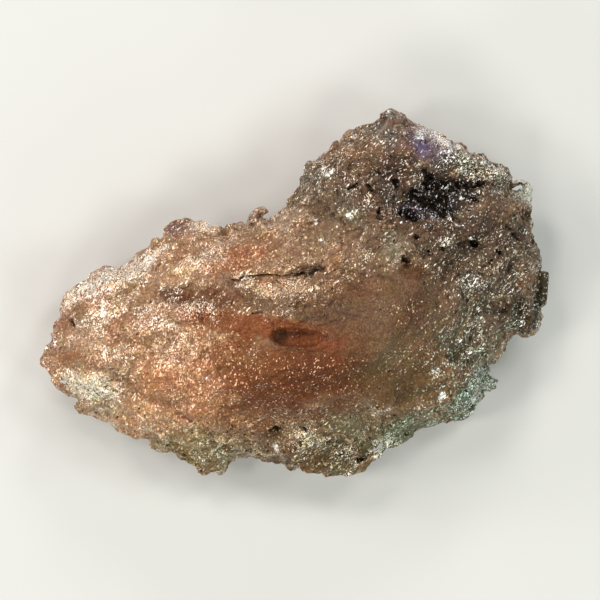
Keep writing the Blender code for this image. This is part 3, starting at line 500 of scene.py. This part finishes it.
# Where the crystal is smooth and clear: name, (centre, half axes, angle), strength.
MOST_CALM, CALM_WANDER = 0.95, 0.5
CALM = [
    ("core", ((3.0, -10.6), (12.5, 6.4), 4), 0.88),
    ("taupe", ((13.5, -3.5), (10, 6.5), 15), 0.8),
    ("olive", ((15.5, -11.5), (5, 4.6), 0), 0.8),
    ("rust under lip", ((-6.4, -4.6), (6.6, 2.0), -6), 0.7),
    ("orange flank", ((-12, -12), (7, 6), 0), 0.45),
    ("lobe", ((12, 19.5), (4.5, 3), 0), 0.35),
    ("lobe west", ((5, 14), (5, 6), 40), 0.35),
    ("east rust", ((16.1, 3.2), (2.0, 1.3), -8), 0.85),
    ("lilac", ((18.2, 19.9), (2.4, 1.6), -35), 0.7),
    ("north centre", ((0, 6.5), (7, 4), 10), 0.45),
    ("west tan", ((-15, -3), (3, 2), 0), 0.3),
    ("smooth tan", ((-9.7, 2.0), (2.2, 0.9), -50), 0.9),
    ("hollow", ((20.6, 13.6), (4.6, 2.6), 8), 0.6),
    ("south-west orange", ((-30, -9.9), (2.6, 1.3), -20), 0.85),
    ("lobe south", ((11.3, 7.6), (3.2, 2.2), 0), 0.55),
    ("east grey", ((28.4, 8.4), (4.6, 5.4), 0), 0.6),
    ("north-west rim", ((-24.8, 5.4), (6.0, 1.0), 34), 0.65),
    ("lobe east", ((26, 11), (3, 2), 0), 0.5),
    ("south dark", ((-3, -19.6), (2.2, 1.0), 0), 0.8),
    ("prism", ((34.9, 0.6), (1.1, 3.4), 0), 0.6),
    ("middle rust", ((7.4, 0.8), (3.2, 1.6), 15), 0.6),
    ("middle east", ((20, 0), (3, 2.4), 0), 0.55),
    ("peak", ((13, 24.8), (2.6, 1.4), 0), 0.5),
    ("cave", ((0.4, -6.1), (3.6, 1.2), -4), 0.9),
]
# Where the crystal is full of dark specks, painted shade of tiny pits: name, (centre, half axes, angle),
# strength.
SPECK_LEVEL, SPECK_LOW = 0.08, 0.12
SPECKLED = [
    ("south rim", ((0, -21.5), (18, 4), 2), 0.45),
    ("east", ((26, 6), (10, 9), 80), 0.75),
    ("hollow", ((21, 13), (9, 6), 10), 0.9),
    ("lobe west", ((7, 15.5), (6.5, 6), 40), 0.6),
    ("south-east rim", ((25, -11), (8, 5), 50), 0.25),
    ("lobe middle", ((15.5, 9.0), (4.5, 3.0), 0), 0.3),
    ("apron", ((-24, -14), (6, 4), -20), 0.15),
    ("crack end", ((1.9, 3.5), (3.4, 1.0), 12), 0.95),
]
# Where small bright dots, painted glints, are many, or where they are few: name, (centre, half axes, angle),
# strength.
DOT_LEVEL, DOT_PATCHES, DOT_PATCH_SIZE, DOT_WANDER = 0.3, 0.35, 3.6, 0.7
DOTS_LOST_IN_HOLES = 0.6
DOTTED = [
    ("core", ((1.5, -11.8), (12, 5.2), 4), 0.16),
    ("orange flank", ((-12, -11), (7, 6), 0), 0.4),
    ("taupe cluster", ((15.6, -2.4), (4.2, 1.3), 12), 0.7),
    ("olive glints", ((16.6, -9.0), (3.4, 1.8), 20), 0.4),
    ("taupe", ((11.5, -2.0), (8.5, 4.2), 12), -0.4),
    ("olive", ((14.5, -12.5), (4.5, 3.6), 0), -0.3),
    ("red band", ((-1.5, -5.3), (11.0, 2.0), -9), -0.5),
    ("lobe", ((10.5, 17.5), (6.5, 6), 20), 0.15),
    ("lobe south", ((9.5, 8.5), (6, 3), 0), -0.2),
    ("north centre", ((-1, 6.5), (8, 4), 10), 0.1),
    ("east", ((27, 4), (7, 9), 0), 0.4),
    ("hollow", ((20.8, 13.4), (5.0, 3.2), 10), 0.9),
    ("south-east", ((24, -13), (7, 6), 45), 0.4),
    ("south", ((-2, -20.5), (18, 3.5), 2), 0.2),
    ("smooth tan", ((-9.7, 2.0), (2.4, 1.1), -50), -0.6),
    ("cave", ((0.4, -6.1), (4.2, 1.6), -4), -0.8),
]
# Painted glints, small spots painted mirror-bright into the colour: (centre, half axes, angle).
GLINT_EDGE, GLINT_SLOPES, GLINT_FROST = 0.35, (0.05, 0.25), 0.5
GLINTS = [
    ((17.4, 21.9), (0.35, 0.55), 20), ((20.6, 21.3), (1.2, 0.4), -45), ((22.9, 20.5), (0.35, 0.5), 0),
    ((20.5, -14.2), (0.6, 0.42), 50), ((3.6, 7.5), (0.3, 0.25), 0), ((2.9, 10.1), (0.2, 0.45), -30),
    ((7.5, 10.9), (0.42, 0.18), -30), ((4.6, 16.5), (0.45, 0.35), 40), ((8.2, 22.0), (0.4, 0.3), 0),
    ((5.0, 16.9), (0.3, 0.25), 0), ((-29.2, 0.8), (0.5, 0.25), 40), ((-26.6, -2.7), (0.5, 0.25), 30),
    ((-20.6, 5.1), (0.9, 0.2), 42), ((-12.0, -11.8), (0.25, 0.4), 40), ((25.0, -14.8), (0.3, 0.4), 10),
    ((11.6, -22.4), (0.8, 0.22), 40), ((13.0, -21.0), (0.4, 0.35), 0),
    ((21.6, 10.3), (0.5, 0.14), -50), ((22.3, 9.6), (0.45, 0.14), -45), ((21.1, 15.0), (0.26, 0.14), 50),
    ((21.9, 14.2), (0.24, 0.12), 40), ((23.0, 13.5), (0.14, 0.2), 0), ((14.8, 9.9), (0.2, 0.14), 0),
    ((26.2, 18.2), (0.4, 0.3), 0), ((13.2, 25.6), (0.3, 0.2), 0), ((-2.6, -21.4), (0.22, 0.5), 20),
    ((24.2, 7.6), (0.3, 0.2), 20), ((19.3, -10.8), (0.5, 0.22), -20),
]  # fmt: skip


def total(points, zones, warp):
    """The strengths of some zones added up at each point."""
    return sum(strength * ellipse(points, *where, SOFT_EDGE, warp) for _, where, strength in zones)


def zone_colours(points, upward, warp):
    """The vertices' tint and the colour of their bright flecks, a painted sparkle, before any shading."""
    tint = np.tile(colour(*BODY_COLOUR), (len(points), 1))
    flecks = np.tile(colour(*FLECK_COLOUR), (len(points), 1))
    for _, where, shade, strength in FLECKS:
        share = strength * upward * ellipse(points, *where, SOFT_EDGE, warp)
        flecks += share[:, None] * (colour(*shade) - flecks)
    for name, where, shade, strength in ZONES:
        soft, wander = (CRISP_EDGE, CRISP_WANDER) if name in CRISP_ZONES else (SOFT_EDGE, 1.0)
        share = strength * upward * ellipse(points, *where, soft, wander * warp)
        tint += share[:, None] * (colour(*shade) - tint)
    return tint, flecks


def frosting(points, low, wear_and_relief_shade, upward, warp):
    """How frosted the etching has left each vertex, before the smooth places are taken out."""
    streaks = rotated(points, STREAK_ANGLE)
    streaks[:, 0] /= STREAK_STRETCH
    frost = FROST_LEVEL + FROST_LOW * low + FROST_PATCHES * fractal(points, FROST_PATCH_SIZE, seed=33)
    frost += FROST_STREAKS * fractal(streaks, STREAK_SIZE, seed=34)
    frost += total(points, GLITTER, GLITTER_WANDER * warp) * upward + FROST_ON_CRESTS * wear_and_relief_shade
    return smoothstep(*FROST_RANGE, frost)


def painted(points, normals, wear_and_relief_shade):
    """What the material needs to know at each vertex, by the attributes' names."""
    warp = sum(strength * fractal(points, size, seed) for strength, size, seed in ZONE_WANDER)
    upward = smoothstep(*PAINTED_SLOPES, normals[:, 2])
    steep = smoothstep(*STEEP_SLOPES, normals[:, 2]) * upward
    low = smoothstep(*LOW_HEIGHTS, points[:, 2])
    dark = np.maximum(hole_depth(points), CRACK_DARKNESS * crack_depth(points)) * upward
    calm = np.clip(total(points, CALM, CALM_WANDER * warp), 0, MOST_CALM) * upward
    tint, flecks = zone_colours(points, upward, warp)
    frost = frosting(points, low, wear_and_relief_shade, upward, warp)
    frost *= (1 - calm) * (1 - dark) * (1 - STEEP_CALM * steep)
    specks = np.clip(SPECK_LEVEL + SPECK_LOW * low + total(points, SPECKLED, warp), 0, 1) * (1 - calm)

    # Painted shade and light of the relief, pits darker and crests paler, with a random grain of tone.
    relief_shade_and_grain = TONE_ON_CRESTS * wear_and_relief_shade * (1 - TONE_CALM * calm)
    relief_shade_and_grain += TONE_GRAIN * fractal(points, TONE_GRAIN_SIZE, seed=35)
    tone = (1 + (BODY_SHADE - 1) * upward) * (1 + relief_shade_and_grain) * (1 - RIM_SHADE * steep)
    tint *= np.clip(tone, *TONE_RANGE)[:, None]
    drift = 1 + np.outer(fractal(points, WARM_SIZE, seed=36), WARM_DRIFT)
    drift += np.outer(fractal(points, OLIVE_SIZE, seed=37), OLIVE_DRIFT)
    tint, flecks = tint * drift, flecks * drift
    # Painted shade in the holes and the crack.
    tint += (HOLE_DARKNESS * dark)[:, None] * (colour(*HOLE_SHADE_COLOUR) - tint)
    # Painted highlights: the tint is paled toward white on the glint spots, which also gather glint slivers.
    bright = np.max([ellipse(points, *where, GLINT_EDGE, warp) for where in GLINTS], axis=0)
    bright *= smoothstep(*GLINT_SLOPES, normals[:, 2])
    tint += (PAINTED_GLINT_SHARE * bright)[:, None] * (colour(*GLINT_COLOUR) - tint)
    dots = DOT_LEVEL + DOT_PATCHES * fractal(points, DOT_PATCH_SIZE, seed=38)
    dots += total(points, DOTTED, DOT_WANDER * warp)
    return {
        "tint": tint,
        "flecks": flecks,
        "frost": np.maximum(frost, GLINT_FROST * bright),
        "specks": specks * (1 - bright),
        "dots": np.clip(dots, 0, 1) * (1 - DOTS_LOST_IN_HOLES * dark),
        "bright": bright,
    }


def add_attribute(mesh, name, values):
    if values.ndim == 2:
        layer = mesh.attributes.new(name, "FLOAT_COLOR", "POINT")
        layer.data.foreach_set("color", np.column_stack([values, np.ones(len(values))]).ravel())
    else:
        mesh.attributes.new(name, "FLOAT", "POINT").data.foreach_set("value", values)


class Nodes:
    """Short ways to add and join a material's nodes."""

    def __init__(self, material):
        material.use_nodes = True
        self.tree = material.node_tree
        self.shader = self.tree.nodes["Principled BSDF"]
        self.output = self.tree.nodes["Material Output"]

    def add(self, kind, inputs=(), **settings):
        node = self.tree.nodes.new(kind)
        for name, value in settings.items():
            setattr(node, name, value)
        for socket, value in dict(inputs).items():
            self.feed(node.inputs[socket], value)
        return node

    def feed(self, socket, value):
        if isinstance(value, bpy.types.NodeSocket):
            self.tree.links.new(value, socket)
        else:
            socket.default_value = value

    def math(self, operation, a, b=0.0, c=0.0):
        return self.add("ShaderNodeMath", {0: a, 1: b, 2: c}, operation=operation).outputs[0]

    def vector(self, operation, a, b=(0, 0, 0), c=(0, 0, 0)):
        return self.add("ShaderNodeVectorMath", {0: a, 1: b, 2: c}, operation=operation).outputs[0]

    def scaled(self, vector, amount):
        inputs = {0: vector, "Scale": amount}
        return self.add("ShaderNodeVectorMath", inputs, operation="SCALE").outputs[0]

    def ramp(self, value, low, high, to_low=0.0, to_high=1.0):
        inputs = {"Value": value, "From Min": low, "From Max": high, "To Min": to_low, "To Max": to_high}
        return self.add("ShaderNodeMapRange", inputs, interpolation_type="SMOOTHSTEP").outputs[0]

    def mix(self, share, a, b):
        node = self.add("ShaderNodeMix", data_type="RGBA")
        self.feed(node.inputs[0], share)
        self.feed(node.inputs[6], a)
        self.feed(node.inputs[7], b)
        return node.outputs[2]

    def attribute(self, name, output):
        return self.add("ShaderNodeAttribute", attribute_name=name).outputs[output]

    def noise(self, place, scale, detail):
        inputs = {"Vector": place, "Scale": scale, "Detail": detail}
        return self.add("ShaderNodeTexNoise", inputs).outputs[0]

    def cells(self, place, scale):
        """Random colour of the cell that each point is in."""
        return self.add("ShaderNodeTexVoronoi", {"Vector": place, "Scale": scale}).outputs["Color"]

    def parts(self, colour):
        """The red, green and blue of a colour."""
        return self.add("ShaderNodeSeparateColor", {0: colour}).outputs

    def normal(self):
        return self.add("ShaderNodeNewGeometry").outputs["Normal"]


# Near black, the painted shade of specks and pits.
SPECK_COLOUR = (0.012, 0.008, 0.006, 1)
# The painted highlight of a glint sliver.
GLINT_WHITE = (0.94, 0.94, 0.91, 1)
SHEEN_TINT, SHEEN_LEVEL = (1.0, 0.55, 0.28, 1), 0.08
BERYL_IOR = 1.58
ABSORPTION_COLOUR, ABSORPTION_DENSITY = (0.90, 0.55, 0.28, 1), 50.0
COAT_ROUGHNESS = 0.06

# How many to a metre: facets by size, bends and ripples of the grain, clusters and fans of flecks.
FINE_FACETS, SMALL_FACETS, MIDDLE_FACETS = 7100, 5200, 2300
BENDS, RIPPLES, CLUSTERS, FANS = 160.0, 1500.0, 650, 2000
BEND, RIPPLE = 0.0028, 0.0003  # metres that they move the grain by
GRAIN_SHAPE, SLIVER_SHAPE, FAN_SHAPE = (1.45, 0.95, 1), (2.4, 0.8, 1), (5.0, 0.8, 1)
CLUSTER_DETAIL, FAN_DETAIL = 3.0, 2.0
FAN_CLUMPS, CLUSTER_CLUMPS, FACET_CLUMPS = 0.7, 0.35, 0.12  # their shares in how flecks gather

# A facet has a random value of 0 to 1, to which the frost, dots, painted glint spots and specks add
# a share. It is a fleck, a glint or a speck where the sum has risen past these pairs; flecks and glints
# are painted sparkle, specks painted shade.
FLECKS_BY_FROST, FLECK_RISE, LEAST_FROST = 0.46, (1.08, 1.15), (0.0, 0.15)
FLECKS_BY_DOTS, DOT_RISE = 0.09, (0.985, 1.012)
GLINTS_BY_DOTS, GLINTS_BY_FROST, GLINTS_BY_BRIGHT = 0.011, 0.036, 0.42
GLINT_RISE = (0.999, 1.005)
SPECKS_BY_ZONE, SPECKS_BY_CLUMP, SPECK_RISE = 0.42, -0.6, (1.02, 1.1)
PITS_BY_ZONE, PITS_BY_FACET, PIT_RISE = 0.1, 0.04, (1.005, 1.03)
FLECK_COVER, PIT_COVER = 0.95, 0.9

# How the brightness of the colour changes from facet to facet, and how much more where it's frosted.
MIDDLE_LEVEL, MIDDLE_BY_FROST = 0.08, 0.2
GRAIN_LEVEL, GRAIN_BY_FROST = 0.6, 0.7
FAN_LEVEL, FAN_BY_FROST = 0.35, 0.9
TILT_LEVEL, TILT_BY_FROST = 0.14, 0.85  # and of the facets' tilt
DARKEST = 0.1
MOTLEY, MOTLEY_LEVEL = (0.3, 0.3, 0.3), (0.85, 0.85, 0.85)
MIDDLE_TILT, HALF = (0.8, 0.8, 0.8), (0.5, 0.5, 0.5)
FLECK_LIGHT = 2.6  # a fleck's painted sparkle, as a multiple of the tint

# Ramps: value from, value to, and what they become.
GRAIN_RAMP = (0.4, 1.0, -0.26, 1.0)
LIGHT_BY_FROST, WHITE_BY_FROST = (0.1, 0.7, 0.45, 0.0), (0.1, 0.6)
ROUGHNESS_BY_FROST, COAT_BY_FROST = (0.0, 0.5, 0.5, 0.1), (0.12, 0.5)
CLEAR_BY_HIDDEN, CLEAR_BY_LEVEL, CLEAR_BY_TINT = (0.0, 1.0, 0.55, 0.12), (0.1, 0.6, 0.4, 1.0), (0.005, 0.2)
HIDDEN_BY_FLECK = 0.9


def facet_place(n):
    """Where each point is along and across the bent grain, for laying out facets, slivers and fans."""
    flat = n.add("ShaderNodeTexCoord").outputs["Object"]
    bend = n.add("ShaderNodeTexNoise", {"Vector": flat, "Scale": BENDS, "Detail": 1.0}).outputs["Color"]
    bent = n.vector("MULTIPLY_ADD", bend, (BEND, BEND, 0.0), flat)
    ripple = n.add("ShaderNodeTexNoise", {"Vector": flat, "Scale": RIPPLES, "Detail": 1.0}).outputs["Color"]
    bent = n.vector("MULTIPLY_ADD", ripple, (RIPPLE, RIPPLE, 0.0), bent)
    grains = {"Vector": bent, "Rotation": (0, 0, SLIVER_ANGLE), "Scale": GRAIN_SHAPE}
    slivers = {"Vector": bent, "Rotation": (0, 0, STREAK_ANGLE), "Scale": SLIVER_SHAPE}
    fans = {"Vector": bent, "Rotation": (0, 0, STREAK_ANGLE), "Scale": FAN_SHAPE}
    ways = (grains, slivers, fans)
    return [n.add("ShaderNodeMapping", way, vector_type="TEXTURE").outputs[0] for way in ways]


def beryl_patterns(n):
    """What the beryl's looks are made from: the vertices' own values, random facets and clumps."""
    place, sliver_place, fan_place = facet_place(n)
    p = SimpleNamespace(tint=n.attribute("tint", "Color"), flecks=n.attribute("flecks", "Color"))
    p.frost, p.specks = n.attribute("frost", "Fac"), n.attribute("specks", "Fac")
    p.dots, p.bright = n.attribute("dots", "Fac"), n.attribute("bright", "Fac")
    p.fine, p.middle = n.cells(place, FINE_FACETS), n.cells(place, MIDDLE_FACETS)
    p.fine_parts, p.middle_parts = n.parts(p.fine), n.parts(p.middle)
    p.small = n.parts(n.cells(sliver_place, SMALL_FACETS))[0]
    cluster = n.math("SUBTRACT", n.noise(place, CLUSTERS, CLUSTER_DETAIL), 0.5)
    p.fan = n.math("SUBTRACT", n.noise(fan_place, FANS, FAN_DETAIL), 0.5)
    clumps = n.math("MULTIPLY_ADD", p.fan, FAN_CLUMPS, n.math("MULTIPLY", cluster, CLUSTER_CLUMPS))
    p.clumps = n.math("MULTIPLY_ADD", p.middle_parts[0], FACET_CLUMPS, clumps)
    return p


def fleck_mask(n, p):
    """1 on the facets painted to sparkle: many where the stone is frosted, and scattered dots."""
    more = n.math("MULTIPLY_ADD", p.frost, FLECKS_BY_FROST, p.clumps)
    frosted = n.ramp(n.math("ADD", p.fine_parts[0], more), *FLECK_RISE)
    frosted = n.math("MULTIPLY", frosted, n.ramp(p.frost, *LEAST_FROST))
    dotted = n.math("MULTIPLY_ADD", p.dots, FLECKS_BY_DOTS, p.fine_parts[2])
    return n.math("MAXIMUM", frosted, n.ramp(dotted, *DOT_RISE))


def glint_mask(n, p):
    """1 on the few slivers painted white, as painted mirror glints."""
    more = n.math("MULTIPLY", p.bright, GLINTS_BY_BRIGHT)
    more = n.math("MULTIPLY_ADD", p.frost, GLINTS_BY_FROST, more)
    more = n.math("MULTIPLY_ADD", p.dots, GLINTS_BY_DOTS, more)
    return n.ramp(n.math("ADD", more, p.small), *GLINT_RISE)


def pit_mask(n, p):
    """1 in the dark specks, and in the pits that are as big as a middle facet, which are painted with shade.
    """
    more = n.math("MULTIPLY_ADD", p.specks, SPECKS_BY_ZONE, n.math("MULTIPLY", p.clumps, SPECKS_BY_CLUMP))
    speck = n.ramp(n.math("ADD", p.fine_parts[1], more), *SPECK_RISE)
    pit = n.math("MULTIPLY_ADD", p.fine_parts[0], PITS_BY_FACET, p.middle_parts[2])
    pit = n.math("MULTIPLY_ADD", p.specks, PITS_BY_ZONE, pit)
    return n.math("MAXIMUM", speck, n.ramp(pit, *PIT_RISE))


def beryl_colour(n, p, fleck, glint, pit):
    """The tint, uneven from facet to facet, with its flecks and glints of painted sparkle and its specks of
    painted shade.
    """
    middle = n.math("MULTIPLY_ADD", p.frost, MIDDLE_BY_FROST, MIDDLE_LEVEL)
    middle = n.math("MULTIPLY_ADD", n.math("SUBTRACT", p.middle_parts[1], 0.5), middle, 1.0)
    grain = n.math("MULTIPLY_ADD", p.frost, GRAIN_BY_FROST, GRAIN_LEVEL)
    grain = n.math("MULTIPLY_ADD", n.ramp(p.fine_parts[1], *GRAIN_RAMP), grain, middle)
    fanned = n.math("MULTIPLY", p.fan, n.math("MULTIPLY_ADD", p.frost, FAN_BY_FROST, FAN_LEVEL))
    uneven = n.math("MAXIMUM", n.math("ADD", grain, fanned), DARKEST)
    motley = n.vector("MULTIPLY_ADD", p.fine, MOTLEY, MOTLEY_LEVEL)
    body = n.scaled(n.vector("MULTIPLY", p.tint, motley), uneven)
    # Painted sparkle of the flecks: their own colour where frosted, a brighter tint where clear.
    light = n.mix(n.ramp(p.frost, *LIGHT_BY_FROST), p.flecks, n.scaled(p.tint, FLECK_LIGHT))
    # The painted highlight on glint slivers: white where frosted or glinting, else the fleck colour.
    white = n.mix(n.ramp(n.math("ADD", p.frost, p.bright), *WHITE_BY_FROST), p.flecks, GLINT_WHITE)
    shade = n.mix(n.math("MULTIPLY", fleck, FLECK_COVER), body, light)
    shade = n.mix(n.math("MULTIPLY", pit, PIT_COVER), shade, SPECK_COLOUR)
    return n.mix(glint, shade, white)


def see_through(n, p, fleck, glint, pit):
    """How much light goes into the stone: most in the clear core, little in holes and on steep sides."""
    hidden = n.math("MULTIPLY_ADD", fleck, HIDDEN_BY_FLECK, p.frost)
    hidden = n.math("MAXIMUM", glint, n.math("MAXIMUM", pit, hidden))
    level = n.add("ShaderNodeSeparateXYZ", {0: n.normal()}).outputs[2]
    pale = n.ramp(n.parts(p.tint)[0], *CLEAR_BY_TINT)
    open_to_light = n.math("MULTIPLY", pale, n.ramp(level, *CLEAR_BY_LEVEL))
    return n.math("MULTIPLY", n.ramp(hidden, *CLEAR_BY_HIDDEN), open_to_light)


def facet_normal(n, p):
    """The way that each facet looks, tilted at random and most where the stone is frosted."""
    tilt_fine = n.vector("SUBTRACT", p.fine, HALF)
    tilt_middle = n.vector("SUBTRACT", p.middle, HALF)
    tilt = n.vector("MULTIPLY_ADD", tilt_middle, MIDDLE_TILT, tilt_fine)
    tilt = n.scaled(tilt, n.math("MULTIPLY_ADD", p.frost, TILT_BY_FROST, TILT_LEVEL))
    return n.vector("NORMALIZE", n.vector("ADD", n.normal(), tilt))


def beryl_material():
    """Peach beryl, clear inside, whose surface glitters with facets too small for the mesh."""
    material = bpy.data.materials.new("etched beryl")
    n = Nodes(material)
    p = beryl_patterns(n)
    masks = (fleck_mask(n, p), glint_mask(n, p), pit_mask(n, p))
    facing = facet_normal(n, p)
    inputs = n.shader.inputs
    n.feed(inputs["Base Color"], beryl_colour(n, p, *masks))
    n.feed(inputs["Transmission Weight"], see_through(n, p, *masks))
    n.feed(inputs["Roughness"], n.ramp(p.frost, *ROUGHNESS_BY_FROST))
    n.feed(inputs["Normal"], facing)
    n.feed(inputs["Coat Normal"], facing)
    n.feed(inputs["Coat Weight"], n.ramp(p.frost, *COAT_BY_FROST))
    inputs["Coat Roughness"].default_value = COAT_ROUGHNESS
    inputs["Coat IOR"].default_value = BERYL_IOR
    inputs["IOR"].default_value = BERYL_IOR
    inputs["Specular IOR Level"].default_value = SHEEN_LEVEL
    inputs["Specular Tint"].default_value = SHEEN_TINT
    absorbing = {"Color": ABSORPTION_COLOUR, "Density": ABSORPTION_DENSITY}
    absorption = n.add("ShaderNodeVolumeAbsorption", absorbing)
    n.tree.links.new(absorption.outputs[0], n.output.inputs["Volume"])
    return material


def stone():
    """The crystal: the CAD solid with its etched surface, its colours and its beryl."""
    mesh = node_mesh("morganite", ["SIMPLE", "CATMULL_CLARK"])
    refine(mesh)
    points, normals = vertex_arrays(mesh)
    low, high = (np.array(corner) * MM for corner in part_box("morganite"))
    etched_points, wear_and_relief_shade = etched(with_narrow_eyelet(points), normals)
    places = kept_inside(etched_points, low, high)
    mesh.vertices.foreach_set("co", (places * METRES).ravel())
    mesh.name = "etched_crystal"
    for name, values in painted(points, normals, wear_and_relief_shade).items():
        add_attribute(mesh, name, values)
    mesh.polygons.foreach_set("use_smooth", np.zeros(len(mesh.polygons), bool))
    mesh.materials.clear()
    mesh.materials.append(beryl_material())
    mesh.update()
    piece = bpy.data.objects.new("etched_crystal", mesh)
    bpy.context.scene.collection.objects.link(piece)
    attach(piece, "root")
    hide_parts("morganite")
    return piece


FLOOR_SIDE = 6.0  # metres
FLOOR_COLOUR, FLOOR_ROUGHNESS = (0.46, 0.455, 0.445, 1), 0.9


def floor():
    """A plain pale floor under the stone."""
    mesh = bpy.data.meshes.new("floor")
    half = FLOOR_SIDE / 2
    corners = [(-half, -half, 0), (half, -half, 0), (half, half, 0), (-half, half, 0)]
    mesh.from_pydata(corners, [], [(0, 1, 2, 3)])
    material = bpy.data.materials.new("pale floor")
    n = Nodes(material)
    n.shader.inputs["Base Color"].default_value = FLOOR_COLOUR
    n.shader.inputs["Roughness"].default_value = FLOOR_ROUGHNESS
    mesh.materials.append(material)
    plane = bpy.data.objects.new("floor", mesh)
    bpy.context.scene.collection.objects.link(plane)


LAMP_COUNT = 10
LAMP_OFFSET = 0.25  # of the first lamp from east, as a share of the step between two
LAMP_DISTANCE, LAMP_WIDTH = 0.55, 0.12  # metres
LAMP_POWER = 0.79  # watts
LAMP_HEIGHTS = (34, 58)  # degrees over the floor, in turn
KEY_TURN, KEY_SHARE = math.radians(140), 0.3  # the lamps are brightest in the north-west
WARM, NEUTRAL, COOL = (1.0, 0.96, 0.90), (1.0, 0.98, 0.96), (0.84, 1.0, 0.94)
COOL_FROM = 0.45  # how far east and south a lamp has to be
SKY_STRENGTH = 0.12


def lights():
    """A ring of soft lamps, warm in the west and a little green in the south-east."""
    for i in range(LAMP_COUNT):
        turn = 2 * math.pi * (i + LAMP_OFFSET) / LAMP_COUNT
        rise = math.radians(LAMP_HEIGHTS[i % 2])
        way = Vector((math.cos(turn) * math.cos(rise), math.sin(turn) * math.cos(rise), math.sin(rise)))
        data = bpy.data.lights.new("lamp", "AREA")
        data.size, data.energy = LAMP_WIDTH, LAMP_POWER * (1 + KEY_SHARE * math.cos(turn - KEY_TURN))
        data.color = COOL if way.x - way.y > COOL_FROM else WARM if way.x < 0 else NEUTRAL
        lamp = bpy.data.objects.new("lamp", data)
        lamp.location = way * LAMP_DISTANCE
        lamp.rotation_euler = (-way).to_track_quat("-Z", "Y").to_euler()
        bpy.context.scene.collection.objects.link(lamp)
    world = bpy.data.worlds.new("studio")
    world.use_nodes = True
    background = world.node_tree.nodes["Background"]
    background.inputs["Color"].default_value = (1.0, 1.0, 1.0, 1)
    background.inputs["Strength"].default_value = SKY_STRENGTH
    bpy.context.scene.world = world


CAMERA_HEIGHT = 1.2  # metres
NEAREST, FARTHEST = 0.05, 20.0  # metres that the camera sees from and to
SENSOR_WIDTH = 36.0
RIM_HEIGHT = 9.0  # of the outline over the floor, where the picture's scale is right


def camera():
    """Looks straight down, so far off that the stone's height hardly changes its outline."""
    data = bpy.data.cameras.new("camera")
    seen = PICTURE_SIDE * PIXEL * METRES
    data.sensor_width = SENSOR_WIDTH
    data.lens = data.sensor_width * (CAMERA_HEIGHT - RIM_HEIGHT * METRES) / seen
    data.clip_start, data.clip_end = NEAREST, FARTHEST
    obj = bpy.data.objects.new("camera", data)
    obj.location = (PICTURE_MIDDLE[0] * METRES, PICTURE_MIDDLE[1] * METRES, CAMERA_HEIGHT)
    bpy.context.scene.collection.objects.link(obj)
    bpy.context.scene.camera = obj


camera()
lights()
floor()
stone()
bpy.context.scene.view_settings.view_transform = "Standard"
